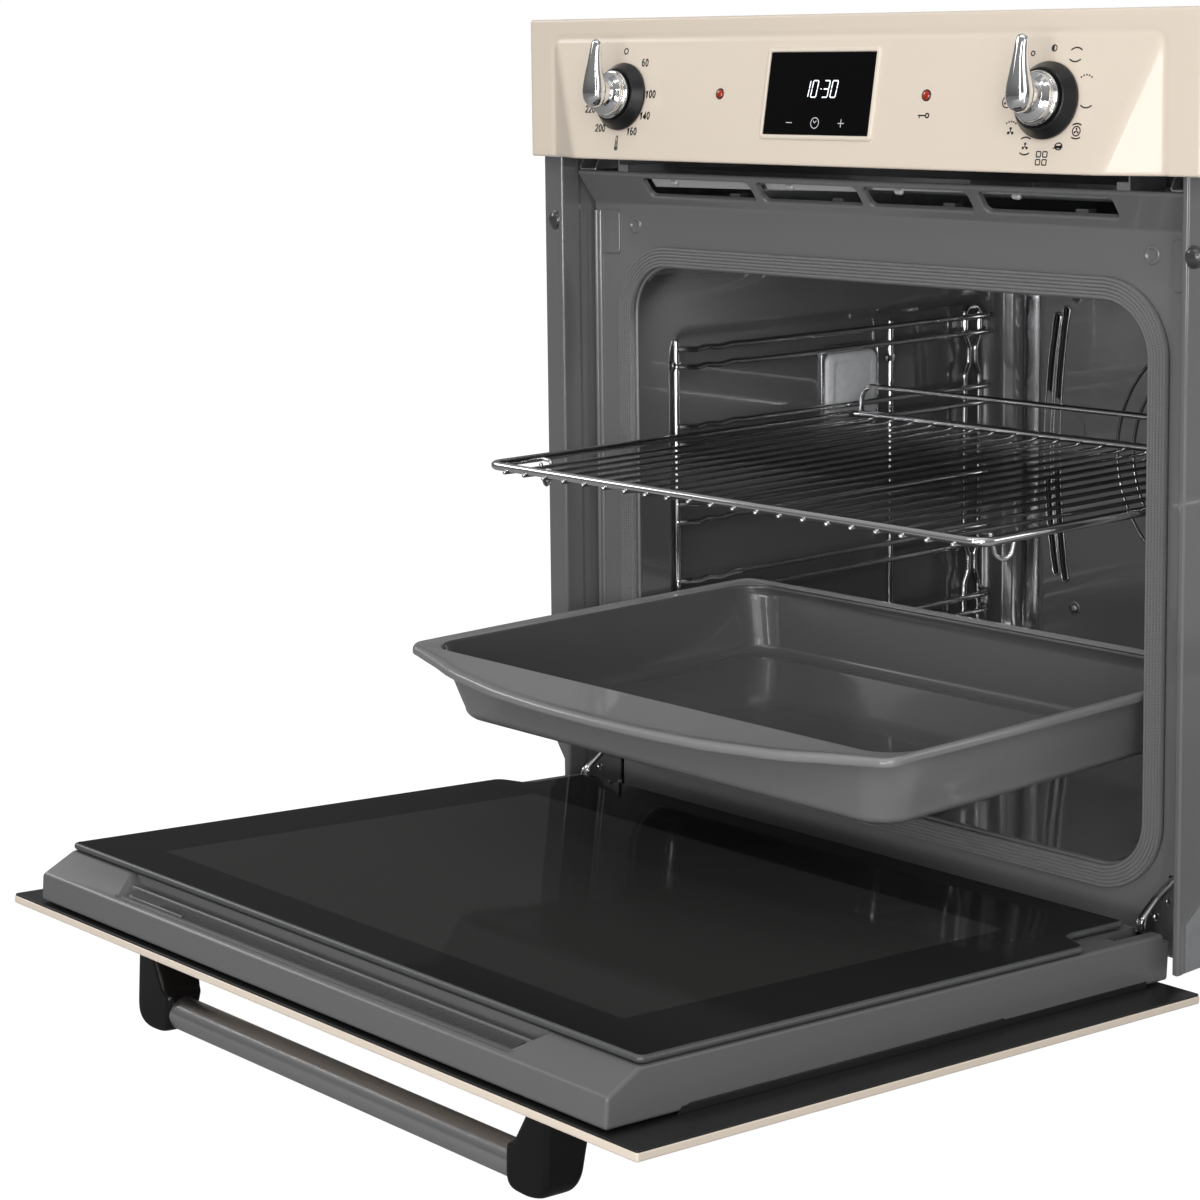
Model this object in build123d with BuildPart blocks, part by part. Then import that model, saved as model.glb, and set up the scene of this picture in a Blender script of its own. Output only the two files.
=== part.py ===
from build123d import *
import os
from math import sin, cos, tan, atan2, radians, degrees, hypot, pi

os.makedirs("parts", exist_ok=True)

# ---------------------------------------------------------------- driving dimensions (mm)
YF = -302.5            # Y of the fascia's flat border; the base face is centred on the origin
BODY_W = 559.6         # casing width
BODY_BACK = 560.0      # casing back, behind the fascia border
BASE_FRONT = 45.0      # front edge of the base
BODY_TOP = 583.8
FACE_W = 597.0         # fascia and door width
FASCIA_TOP, FASCIA_BOT = 592.0, 492.4
CREASE_Z = 577.0       # top of the inclined field
CREASE_X = 270.8       # its half width at the top
FIELD_X = 235.0        # its half width at the bottom
LEAN = 10.0            # degrees the field leans forward
KNOB_X, KNOB_V = 190.9, -41.12
LAMP_X, LAMP_V = 93.1, -38.28
DISP_X, DISP_V0, DISP_V1 = 47.5, -65.3, -10.15
FRAME_Y = 43.0         # grey front frame plane
TRIM_Y = 12.0          # side trim flange plane
OPEN_X, OPEN_Z0, OPEN_Z1, OPEN_R = 232.0, 51.5, 411.0, 34.0
CAV_X, CAV_Z0, CAV_Z1, CAV_BACK = 231.0, 50.3, 412.2, 460.0
REC_X, REC_Y0, REC_Y1, REC_Z0, REC_Z1 = 239.0, 75.0, 446.0, 75.0, 361.0
FAN_Z = 243.5
T = 1.2                # enamelled sheet
HOOD_Y, HOOD_Z0, HOOD_Z1 = 24.0, 456.5, 481.7
RAIL_X, RAIL_R = 226.0, 2.5
RAIL_LOW = [97.7, 156.5, 215.3, 274.1, 332.9]
RAIL_PITCH = 13.5
SHELF_Z, SHELF_X, SHELF_Y0, SHELF_Y1 = 280.4, 225.2, -107.4, 272.0
TRAY_Z = 163.0
DOOR_TILT = 4.0        # degrees the free edge stands above level
DOOR_L = 470.0
HINGE_Y, HINGE_Z = 19.0, 13.0
HINGE_X = 256.3
GLASS_X, GLASS_S0, GLASS_S1, GLASS_H0, GLASS_H1 = 271.4, 25.8, 458.0, 32.0, 36.2
BAR_S, BAR_H, BAR_R = 43.0, -53.0, 10.5


def yy(d):
    """World Y of a depth measured behind the fascia border."""
    return YF + d


def face_at(d):
    """Plane facing the front at depth d: local x = X, local y = Z, normal = -Y."""
    return Plane(origin=(0, yy(d), 0), x_dir=(1, 0, 0), z_dir=(0, -1, 0))


def side_at(x):
    """Plane normal to X: local x = Y behind the border, local y = Z."""
    return Plane(origin=(x, YF, 0), x_dir=(0, 1, 0), z_dir=(1, 0, 0))


def level_at(z):
    """Plane normal to Z: local x = X, local y = depth behind the border."""
    return Plane(origin=(0, YF, z), x_dir=(1, 0, 0), z_dir=(0, 0, 1))


CL, SL = cos(radians(LEAN)), sin(radians(LEAN))


def field_at(w):
    """Plane on the inclined field: local x = X, local y = up the field from the crease, w outward."""
    return Plane(origin=(0, YF, CREASE_Z), x_dir=(1, 0, 0), z_dir=(0, -CL, SL)).offset(w)


CD, SD = cos(radians(DOOR_TILT)), sin(radians(DOOR_TILT))


def door_at(h):
    """Plane on the open door: local x = X, local y = s from the free edge to the hinge, h toward the cavity side."""
    return Plane(origin=(0, YF - 456.098, 28.178), x_dir=(1, 0, 0), z_dir=(0, SD, CD)).offset(h)


def door_side(x):
    """Section plane of the door: local x = s, local y = h, normal = +X."""
    o = door_at(0)
    return Plane(origin=(x, YF - 456.098, 28.178), x_dir=(0, CD, -SD), z_dir=(1, 0, 0))


def save(part, name):
    part.label = name
    export_step(part, "parts/" + name + ".step")


# ================================================================ casing
with BuildPart(level_at(0)) as base_pan:
    with BuildSketch(level_at(0)):
        with Locations((0, (BASE_FRONT + BODY_BACK) / 2)):
            Rectangle(BODY_W, BODY_BACK - BASE_FRONT)
    extrude(amount=1.5)
    with BuildSketch(level_at(1.5)):
        for s in (-1, 1):
            with Locations((s * 277.6, 302.0)):
                Rectangle(1.2, 508)
        with Locations((0, 557.3)):
            Rectangle(540, 1.2)
    extrude(amount=14)
save(base_pan.part, "base_pan")

for side, s in (("left", -1), ("right", 1)):
    with BuildPart() as side_panel:
        with BuildSketch(side_at(s * 279.2)):
            with Locations(((13.6 + 558.2) / 2, (1.7 + 582.2) / 2)):
                Rectangle(558.2 - 13.6, 582.2 - 1.7)
        extrude(amount=0.6, both=True)
        # stiffening beads and air slots near the top rear
        with BuildSketch(side_at(s * 278.0)):
            with Locations((300, 150), (300, 300)):
                SlotOverall(420, 10)
        extrude(amount=0.62 * s)
        with BuildSketch(side_at(s * 279.2)):
            with Locations(*[(400, 480 + 14 * i) for i in range(5)]):
                SlotOverall(150, 5)
        extrude(amount=3, both=True, mode=Mode.SUBTRACT)
    save(side_panel.part, "side_panel_" + side)

with BuildPart() as rear_panel:
    with BuildSketch(face_at(559.6)):
        with Locations((0, (1.7 + 582.2) / 2)):
            Rectangle(2 * 278.2, 582.2 - 1.7)
        with Locations((0, 30)):
            SlotOverall(300, 10, mode=Mode.SUBTRACT)
        with Locations(*[(x, z) for x in (-150, 150) for z in (60, 80, 100, 120)]):
            SlotOverall(120, 6, mode=Mode.SUBTRACT)
        with Locations(*[(0, 470 + 14 * i) for i in range(6)]):
            SlotOverall(200, 6, mode=Mode.SUBTRACT)
        with Locations((205, 520)):
            Rectangle(84, 44, mode=Mode.SUBTRACT)
    extrude(amount=1.2)
save(rear_panel.part, "rear_panel")

with BuildPart() as top_cover:
    with BuildSketch(level_at(BODY_TOP - 1.2)):
        with Locations((0, (14 + BODY_BACK) / 2)):
            Rectangle(BODY_W, BODY_BACK - 14)
    extrude(amount=1.2)
    with BuildSketch(level_at(BODY_TOP - 1.2 - 12)):
        with Locations((0, 556.9)):
            Rectangle(540, 1.0)
        for s in (-1, 1):
            with Locations((s * 277.2, 290)):
                Rectangle(1.0, 500)
    extrude(amount=12)
save(top_cover.part, "top_cover")

# ---------------------------------------------------------------- side trims
for side, s in (("left", -1), ("right", 1)):
    with BuildPart() as side_trim:
        with BuildSketch(face_at(TRIM_Y + 1.2)):
            with BuildLine():
                Polyline(
                    (s * 277.4, 3.0), (s * 282.5, 3.0), (s * 285.0, 5.5), (s * 285.0, 35.0),
                    (s * 298.2, 54.0), (s * 298.2, 491.6), (s * 277.4, 491.6), close=True)
            make_face()
        extrude(amount=1.2)
        with BuildSketch(level_at(3.0)):
            with Locations((s * 277.9, (TRIM_Y + 44.6) / 2)):
                Rectangle(1.0, 44.6 - TRIM_Y)
        extrude(amount=491.6 - 3.0)
        # screw clearance hole is filled by the fixing screw
        with BuildSketch(face_at(TRIM_Y + 1.2)):
            with Locations((s * 286.4, 444.7)):
                Circle(3.45)
        extrude(amount=1.2, mode=Mode.SUBTRACT)
    save(side_trim.part, "side_trim_" + side)

with BuildPart() as cabinet_screws:
    for s in (-1, 1):
        with BuildSketch(face_at(TRIM_Y)):
            with Locations((s * 286.4, 444.7)):
                Circle(6.0)
        extrude(amount=3.2)
        # neck filling the trim's hole, then the shank that goes into the cabinet
        with BuildSketch(face_at(TRIM_Y + 1.2)):
            with Locations((s * 286.4, 444.7)):
                Circle(3.4)
        extrude(amount=1.2)
        with BuildSketch(face_at(TRIM_Y + 17.2)):
            with Locations((s * 286.4, 444.7)):
                Circle(2.0)
        extrude(amount=16.0)
    heads = cabinet_screws.faces().filter_by(Axis.Y).group_by(Axis.Y)[0].edges()
    fillet(heads, 1.8)
save(cabinet_screws.part, "cabinet_screws")

# ================================================================ front frame with the slanted vent hood
SLOPE = hypot(FRAME_Y - HOOD_Y, HOOD_Z1 - HOOD_Z0)
nY, nZ = -(HOOD_Z1 - HOOD_Z0) / SLOPE, -(FRAME_Y - HOOD_Y) / SLOPE
slant = Plane(origin=(0, yy(FRAME_Y), HOOD_Z0), x_dir=(1, 0, 0), z_dir=(0, nY, nZ))
VENTS = [(-209.7, -102.7), (-94.8, -1.7), (5.6, 95.3), (105.4, 211.8)]

with BuildPart() as front_frame:
    with BuildSketch(face_at(FRAME_Y + T)):
        with Locations((0, (3.0 + HOOD_Z0) / 2)):
            Rectangle(2 * 277.1, HOOD_Z0 - 3.0)
        with Locations((0, (OPEN_Z0 + OPEN_Z1) / 2)):
            RectangleRounded(2 * OPEN_X, OPEN_Z1 - OPEN_Z0, OPEN_R, mode=Mode.SUBTRACT)
        for s in (-1, 1):
            with Locations((s * HINGE_X, 28.5)):
                Rectangle(9.6, 50.0, mode=Mode.SUBTRACT)
    extrude(amount=T)
    # slanted face and the ledge above it
    with BuildSketch(side_at(-276.0)):
        with BuildLine():
            Polyline((FRAME_Y, HOOD_Z0), (HOOD_Y, HOOD_Z1), (72.0, HOOD_Z1), (72.0, HOOD_Z1 - T),
                     (HOOD_Y + 2.4, HOOD_Z1 - T), (FRAME_Y + T, HOOD_Z0 + 0.6), (FRAME_Y + T, HOOD_Z0), close=True)
        make_face()
    extrude(amount=552.0)
    with BuildSketch(slant):
        for x0, x1 in VENTS:
            with Locations(((x0 + x1) / 2, 16.6)):
                RectangleRounded(x1 - x0, 16.6, 4.0)
    extrude(amount=-2.2, mode=Mode.SUBTRACT)
    # end brackets of the hood
    for s in (-1, 1):
        with BuildSketch(side_at(s * 275.4)):
            with BuildLine():
                Polyline((FRAME_Y + 0.4, HOOD_Z0), (HOOD_Y + 1.0, HOOD_Z1 - 0.6), (60.0, HOOD_Z1 - 0.6), (60.0, HOOD_Z0), close=True)
            make_face()
        extrude(amount=0.6, both=True)
    # shallow raised fields and round bosses beside the opening
    with BuildSketch(face_at(FRAME_Y)):
        for s in (-1, 1):
            with Locations((s * 259.2, 437.2)):
                RectangleRounded(20.5, 32.5, 3.0)
            with Locations((s * 232.9, 441.6)):
                Circle(8.0)
    extrude(amount=0.8)
    with BuildSketch(face_at(FRAME_Y - 0.8)):
        for s in (-1, 1):
            with Locations((s * 232.9, 441.6)):
                Circle(3.6)
    extrude(amount=-0.9, mode=Mode.SUBTRACT)
save(front_frame.part, "front_frame")

# ================================================================ door gasket: woven band with ribs
GY0, GY1 = 37.7, FRAME_Y - 0.02
with BuildPart() as door_gasket:
    zc = (OPEN_Z0 + OPEN_Z1) / 2
    with BuildSketch(face_at(GY1)):
        with Locations((0, zc)):
            RectangleRounded(2 * 247.4, 391.0, OPEN_R + 15.4)
            RectangleRounded(2 * OPEN_X, OPEN_Z1 - OPEN_Z0, OPEN_R, mode=Mode.SUBTRACT)
    extrude(amount=GY1 - GY0)
    with BuildSketch(face_at(GY0)):
        for k in range(5):
            g = 2.5 + 2.65 * k
            with Locations((0, zc)):
                RectangleRounded(2 * (OPEN_X + g + 0.45), OPEN_Z1 - OPEN_Z0 + 2 * (g + 0.45), OPEN_R + g + 0.45)
                RectangleRounded(2 * (OPEN_X + g - 0.45), OPEN_Z1 - OPEN_Z0 + 2 * (g - 0.45), OPEN_R + g - 0.45, mode=Mode.SUBTRACT)
    extrude(amount=-1.3, mode=Mode.SUBTRACT)
save(door_gasket.part, "door_gasket")

# ================================================================ cavity shell
CZ = (CAV_Z0 + CAV_Z1) / 2
CH = CAV_Z1 - CAV_Z0
BULGE_X, BULGE_Z, BULGE_Y = 150.0, 145.0, 492.0
with BuildPart() as cavity_shell:
    y0 = FRAME_Y + T
    with BuildSketch(face_at(CAV_BACK + T)):
        with Locations((0, CZ)):
            RectangleRounded(2 * (CAV_X + T), CH + 2 * T, OPEN_R + T)
    extrude(amount=CAV_BACK + T - y0)
    with BuildSketch(side_at(-(REC_X + T))):
        with Locations(((REC_Y0 + REC_Y1) / 2, (REC_Z0 + REC_Z1) / 2)):
            RectangleRounded(REC_Y1 - REC_Y0 + 2 * T, REC_Z1 - REC_Z0 + 2 * T, 20 + T)
    extrude(amount=2 * (REC_X + T))
    with BuildSketch(face_at(BULGE_Y + T)):
        with Locations((0, FAN_Z)):
            RectangleRounded(2 * (BULGE_X + T), 2 * (BULGE_Z + T), 40 + T)
    extrude(amount=BULGE_Y - CAV_BACK)
    # hollow it
    with BuildSketch(face_at(CAV_BACK)):
        with Locations((0, CZ)):
            RectangleRounded(2 * CAV_X, CH, OPEN_R)
    extrude(amount=CAV_BACK - y0, mode=Mode.SUBTRACT)
    with BuildSketch(side_at(-REC_X)):
        with Locations(((REC_Y0 + REC_Y1) / 2, (REC_Z0 + REC_Z1) / 2)):
            RectangleRounded(REC_Y1 - REC_Y0, REC_Z1 - REC_Z0, 20)
    extrude(amount=2 * REC_X, mode=Mode.SUBTRACT)
    with BuildSketch(face_at(BULGE_Y)):
        with Locations((0, FAN_Z)):
            RectangleRounded(2 * BULGE_X, 2 * BULGE_Z, 40)
    extrude(amount=BULGE_Y - CAV_BACK + 1, mode=Mode.SUBTRACT)
    # fan shaft hole and lamp window
    with BuildSketch(face_at(BULGE_Y + 2)):
        with Locations((0, FAN_Z)):
            Circle(7.0)
    extrude(amount=3, mode=Mode.SUBTRACT)
    with BuildSketch(side_at(-(REC_X + 2))):
        with Locations((280, 301)):
            RectangleRounded(56, 50, 6)
    extrude(amount=4, mode=Mode.SUBTRACT)
save(cavity_shell.part, "cavity_shell")

# ---------------------------------------------------------------- fan cover
COVER_Z0, COVER_Z1 = 70.0, 380.0
cover_zc, cover_h = (COVER_Z0 + COVER_Z1) / 2, COVER_Z1 - COVER_Z0
with BuildPart() as fan_cover:
    with BuildSketch(face_at(450.0)) as cover_front:
        with Locations((0, cover_zc)):
            RectangleRounded(2 * 187, cover_h, 14)
    with BuildSketch(face_at(459.95)) as cover_foot:
        with Locations((0, cover_zc)):
            RectangleRounded(2 * 196, cover_h + 18, 20)
    loft()
    with BuildSketch(face_at(451.2)):
        with Locations((0, cover_zc)):
            RectangleRounded(2 * 185.8, cover_h - 2.4, 13)
    with BuildSketch(face_at(459.96)):
        with Locations((0, cover_zc)):
            RectangleRounded(2 * 193.8, cover_h + 13.6, 18)
    loft(mode=Mode.SUBTRACT)
    # two tall curved outlet slots on each side
    with BuildSketch(face_at(452.0)):
        for s in (-1, 1):
            for xm, ze in ((165.0, 107.0),):
                with BuildLine():
                    ThreePointArc((s * 161.5, 349), (s * 171, 248), (s * 160.5, 135.5))
                    Line((s * 160.5, 135.5), (s * 149, 131))
                    ThreePointArc((s * 149, 131), (s * 159.5, 250), (s * 149.7, 358))
                    Line((s * 149.7, 358), (s * 161.5, 349))
                make_face()
    extrude(amount=3.0, mode=Mode.SUBTRACT)
    # central intake: three rings of arc slots
    with BuildSketch(face_at(452.0)):
        with Locations((0, FAN_Z)):
            for r_in, r_out, n in ((26, 34, 6), (44, 52, 8), (62, 70, 12)):
                Circle(r_out)
                Circle(r_in, mode=Mode.SUBTRACT)
            for a in range(0, 180, 30):
                Rectangle(150, 6, rotation=a, mode=Mode.SUBTRACT)
    extrude(amount=3.0, mode=Mode.SUBTRACT)
    # two raised rings round the intake
    with BuildSketch(face_at(450.0)):
        with Locations((0, FAN_Z)):
            Circle(103)
            Circle(101, mode=Mode.SUBTRACT)
            Circle(87)
            Circle(85, mode=Mode.SUBTRACT)
    extrude(amount=0.8)
    # screws
    with BuildSketch(face_at(450.1)):
        with Locations((-144, 108), (144, 108), (-144, 372), (144, 372)):
            Circle(4.0)
    extrude(amount=2.3)
save(fan_cover.part, "fan_cover")

# ---------------------------------------------------------------- convection fan, motor, ring element
with BuildPart() as convection_fan:
    with BuildSketch(face_at(484.0)):
        with Locations((0, FAN_Z)):
            Circle(76)
    extrude(amount=1.2)
    with BuildSketch(face_at(483.0)):
        with Locations((0, FAN_Z)):
            Circle(12)
    extrude(amount=20)
    with BuildSketch(face_at(483.0)):
        with Locations((0, FAN_Z)):
            with PolarLocations(54, 12):
                Rectangle(40, 1.4, rotation=25)
    extrude(amount=24)
    with BuildSketch(face_at(506.0)):
        with Locations((0, FAN_Z)):
            Circle(4.0)
    extrude(amount=24)
save(convection_fan.part, "convection_fan")

with BuildPart() as fan_motor:
    with BuildSketch(face_at(534.0)):
        with Locations((0, FAN_Z)):
            Circle(34)
    extrude(amount=38)
    with BuildSketch(face_at(496.0)):
        with Locations((0, FAN_Z)):
            Rectangle(120, 22)
            Circle(36)
    extrude(amount=2.6)
    with BuildSketch(face_at(508.0)):
        with Locations((0, FAN_Z)):
            Circle(4.05)
    extrude(amount=16, mode=Mode.SUBTRACT)
save(fan_motor.part, "fan_motor")

with BuildPart() as ring_element:
    with BuildSketch(side_at(0)):
        with Locations((470, FAN_Z + 104)):
            Circle(3.3)
    revolve(axis=Axis((0, yy(470), FAN_Z), (0, 1, 0)), revolution_arc=360)
    with BuildSketch(face_at(491.9)):
        with Locations((-12, FAN_Z + 104), (12, FAN_Z + 104)):
            Circle(3.0)
    extrude(amount=20)
save(ring_element.part, "ring_element")

with BuildPart() as grill_element:
    with BuildLine(level_at(398.0)):
        FilletPolyline((-20, 459.9), (-20, 400), (-185, 400), (-185, 130), (-110, 130), (-110, 350), (-45, 350),
                       (-45, 130), (45, 130), (45, 350), (110, 350), (110, 130), (185, 130), (185, 400),
                       (20, 400), (20, 459.9), radius=18)
    with BuildSketch(Plane(origin=(-20, yy(459.9), 398.0), x_dir=(1, 0, 0), z_dir=(0, -1, 0))):
        Circle(3.2)
    sweep()
save(grill_element.part, "grill_element")

with BuildPart() as bottom_element:
    with BuildLine(level_at(41.5)):
        FilletPolyline((-20, 470), (-20, 420), (-160, 420), (-160, 110), (-60, 110), (-60, 340), (60, 340),
                       (60, 110), (160, 110), (160, 420), (20, 420), (20, 470), radius=20)
    with BuildSketch(Plane(origin=(-20, yy(470), 41.5), x_dir=(1, 0, 0), z_dir=(0, -1, 0))):
        Circle(3.2)
    sweep()
save(bottom_element.part, "bottom_element")

with BuildPart() as temperature_sensor:
    with BuildSketch(face_at(459.9)):
        with Locations((-208, 378)):
            Circle(2.2)
    extrude(amount=70)
    with BuildSketch(face_at(459.9)):
        with Locations((-208, 378)):
            Circle(6)
    extrude(amount=2)
save(temperature_sensor.part, "temperature_sensor")

# ================================================================ side racks (chrome wire)
RX = 230.5             # uprights, outside the rails
for side, s in (("left", -1), ("right", 1)):
    with BuildPart() as rack:
        for z in RAIL_LOW + [z + RAIL_PITCH for z in RAIL_LOW]:
            with BuildLine(level_at(z)):
                FilletPolyline((s * 230.2, 81.0), (s * RAIL_X, 89.0), (s * RAIL_X, 434.0), (s * 230.0, 441.0), radius=5)
            with BuildSketch(Plane(origin=(s * 230.2, yy(81.0), z), x_dir=(0, 0, 1), z_dir=(-s * 4.2, 8.0, 0))):
                Circle(RAIL_R)
            sweep()
        for y, za, zb in ((81.0, 86.0, 352.0), (320.0, 86.0, 350.0)):
            with BuildSketch(level_at(za)):
                with Locations((s * RX, y)):
                    Circle(RAIL_R)
            extrude(amount=zb - za)
        # rear pair, pinched together at two heights
        for y, d in ((412.0, 5.0), (430.0, -5.0)):
            with BuildLine(side_at(s * RX)):
                FilletPolyline((y, 86), (y, 112), (y + d, 128), (y + d, 151), (y, 167), (y, 290), (y + d, 304),
                               (y + d, 325), (y, 341), (y, 350), radius=8)
            with BuildSketch(level_at(86)):
                with Locations((s * RX, y)):
                    Circle(RAIL_R)
            sweep()
        # mounting pins into the side wall
        for y, z in ((81.0, 334.0), (320.0, 320.0), (81.0, 104.0)):
            with BuildSketch(side_at(s * RX)):
                with Locations((y, z)):
                    Circle(3.0)
            extrude(amount=s * (REC_X - 0.05 - RX))
        with BuildSketch(side_at(s * (RX - 4.4))):
            with Locations((81.0, 334.0)):
                Circle(3.6)
        extrude(amount=s * 4.4)
    save(rack.part, "rack_" + side)

# ================================================================ lamp in the left wall
with BuildPart() as lamp_housing:
    with BuildSketch(side_at(-262)):
        with Locations((280, 301)):
            RectangleRounded(66, 58, 5)
    extrude(amount=21.7)
    with BuildSketch(side_at(-240.4)):
        with Locations((280, 301)):
            RectangleRounded(55.4, 49.4, 6)
    extrude(amount=3.0)
    with BuildSketch(side_at(-238.95)):
        with Locations((279.5, 302.5)):
            RectangleRounded(67, 65, 6)
    extrude(amount=1.8)
    with BuildSketch(side_at(-260.6)):
        with Locations((280, 301)):
            RectangleRounded(51, 45, 5)
    extrude(amount=26, mode=Mode.SUBTRACT)
save(lamp_housing.part, "lamp_housing")

with BuildPart() as lamp_glass:
    with BuildSketch(side_at(-237.1)):
        with Locations((280, 301)):
            RectangleRounded(59, 54, 8)
    extrude(amount=4.2)
    top_edges = lamp_glass.faces().sort_by(Axis.X)[-1].edges()
    fillet(top_edges, 1.8)
save(lamp_glass.part, "lamp_glass")

with BuildPart() as lamp_bulb:
    with BuildSketch(side_at(-260.5)):
        with Locations((280, 301)):
            Circle(11)
    extrude(amount=7)
    with BuildSketch(side_at(-253.6)):
        with Locations((280, 301)):
            Circle(7)
    extrude(amount=14)
    glass_top = lamp_bulb.faces().sort_by(Axis.X)[-1].edges()
    fillet(glass_top, 5.0)
save(lamp_bulb.part, "lamp_bulb")

# ================================================================ insulation sleeve
with BuildPart() as insulation_blanket:
    with BuildSketch(face_at(493.0)):
        with Locations((0, 222)):
            RectangleRounded(2 * 266, 424, 12)
        with Locations((0, 222.6)):
            RectangleRounded(2 * 242.5, 387.2, 8, mode=Mode.SUBTRACT)
    extrude(amount=493.0 - 46.0)
    # clear of the hinge pockets and the lamp
    for s in (-1, 1):
        with BuildSketch(level_at(0)):
            with Locations((s * 256, 110)):
                Rectangle(32, 150)
        extrude(amount=84, mode=Mode.SUBTRACT)
    with BuildSketch(side_at(-270)):
        with Locations((280, 301)):
            Rectangle(70, 64)
    extrude(amount=30, mode=Mode.SUBTRACT)
save(insulation_blanket.part, "insulation_blanket")

# ================================================================ cooling air path over the cavity
DUCT_Z0, DUCT_Z1 = 458.0, 479.6
with BuildPart() as air_duct:
    with BuildSketch(level_at(DUCT_Z0)):
        with BuildLine():
            Polyline((-255, 47.0), (255, 47.0), (255, 200), (62, 384), (-62, 384), (-255, 200), close=True)
        make_face()
    extrude(amount=DUCT_Z1 - DUCT_Z0)
    with BuildSketch(level_at(DUCT_Z0 + 1.0)):
        with BuildLine():
            Polyline((-254, 45.0), (254, 45.0), (254, 199.5), (61, 384), (61, 390), (-61, 390), (-61, 384), (-254, 199.5), close=True)
        make_face()
    extrude(amount=DUCT_Z1 - DUCT_Z0 - 2.0, mode=Mode.SUBTRACT)
    # clips and a cross tube seen through the vent slots
    for x in (-140, -40, 60, 170):
        with BuildSketch(level_at(DUCT_Z0 + 0.9)):
            with Locations((x, 58)):
                Rectangle(10, 8)
        extrude(amount=8)
    with BuildSketch(side_at(-250)):
        with Locations((58, DUCT_Z1 - 4.6)):
            Circle(3.2)
    extrude(amount=500)
save(air_duct.part, "air_duct")

ROT_Y = 458.0
with BuildPart() as blower_housing:
    with BuildSketch(level_at(DUCT_Z0 - 22)):
        with Locations((0, ROT_Y)):
            Circle(74)
        with Locations((0, 400)):
            Rectangle(124, 31.6)
    extrude(amount=DUCT_Z1 - DUCT_Z0 + 22)
    with BuildSketch(level_at(DUCT_Z0 - 21)):
        with Locations((0, ROT_Y)):
            Circle(73)
        with Locations((0, 398)):
            Rectangle(122, 40)
    extrude(amount=DUCT_Z1 - DUCT_Z0 + 20, mode=Mode.SUBTRACT)
    with BuildSketch(level_at(DUCT_Z1 - 2)):
        with Locations((0, ROT_Y)):
            Circle(44)
    extrude(amount=3, mode=Mode.SUBTRACT)
    # close the step below the duct
    with BuildSketch(face_at(385.4)):
        with Locations((0, DUCT_Z0 - 11)):
            Rectangle(124, 22)
    extrude(amount=1.2)
save(blower_housing.part, "blower_housing")

with BuildPart() as blower_rotor:
    with BuildSketch(level_at(DUCT_Z0 - 17)):
        with Locations((0, ROT_Y)):
            Circle(58)
    extrude(amount=1.5)
    with BuildSketch(level_at(DUCT_Z0 - 16)):
        with Locations((0, ROT_Y)):
            with PolarLocations(48, 20):
                Rectangle(18, 1.2, rotation=35)
    extrude(amount=32)
    with BuildSketch(level_at(DUCT_Z0 - 16)):
        with Locations((0, ROT_Y)):
            Circle(9)
    extrude(amount=20)
    with BuildSketch(level_at(DUCT_Z0)):
        with Locations((0, ROT_Y)):
            Circle(3.0)
    extrude(amount=46)
save(blower_rotor.part, "blower_rotor")

with BuildPart() as blower_motor:
    with BuildSketch(level_at(490.0)):
        with Locations((0, ROT_Y)):
            Circle(30)
    extrude(amount=40)
    with BuildSketch(level_at(490.0)):
        with Locations((0, ROT_Y)):
            with PolarLocations(42, 3):
                Rectangle(34, 12)
    extrude(amount=3)
    with BuildSketch(level_at(DUCT_Z1 + 0.02)):
        with Locations((0, ROT_Y)):
            with PolarLocations(55, 3):
                Circle(4.5)
    extrude(amount=11)
    with BuildSketch(level_at(489.0)):
        with Locations((0, ROT_Y)):
            Circle(3.05)
    extrude(amount=18, mode=Mode.SUBTRACT)
save(blower_motor.part, "blower_motor")

with BuildPart() as terminal_block:
    with BuildSketch(face_at(558.0)):
        with Locations((205, 520)):
            Rectangle(96, 54)
    extrude(amount=5)
    with BuildSketch(face_at(559.4)):
        with Locations((205, 520)):
            Rectangle(82, 42)
    extrude(amount=24)
    with BuildSketch(face_at(560.0)):
        with Locations(*[(205 - 30 + 15 * i, 520) for i in range(5)]):
            Rectangle(11, 30)
    extrude(amount=-8, mode=Mode.SUBTRACT)
    with BuildSketch(face_at(559.5)):
        with Locations(*[(205 - 30 + 15 * i, 520) for i in range(5)]):
            Rectangle(11, 30)
    extrude(amount=8, mode=Mode.SUBTRACT)
save(terminal_block.part, "terminal_block")

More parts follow.
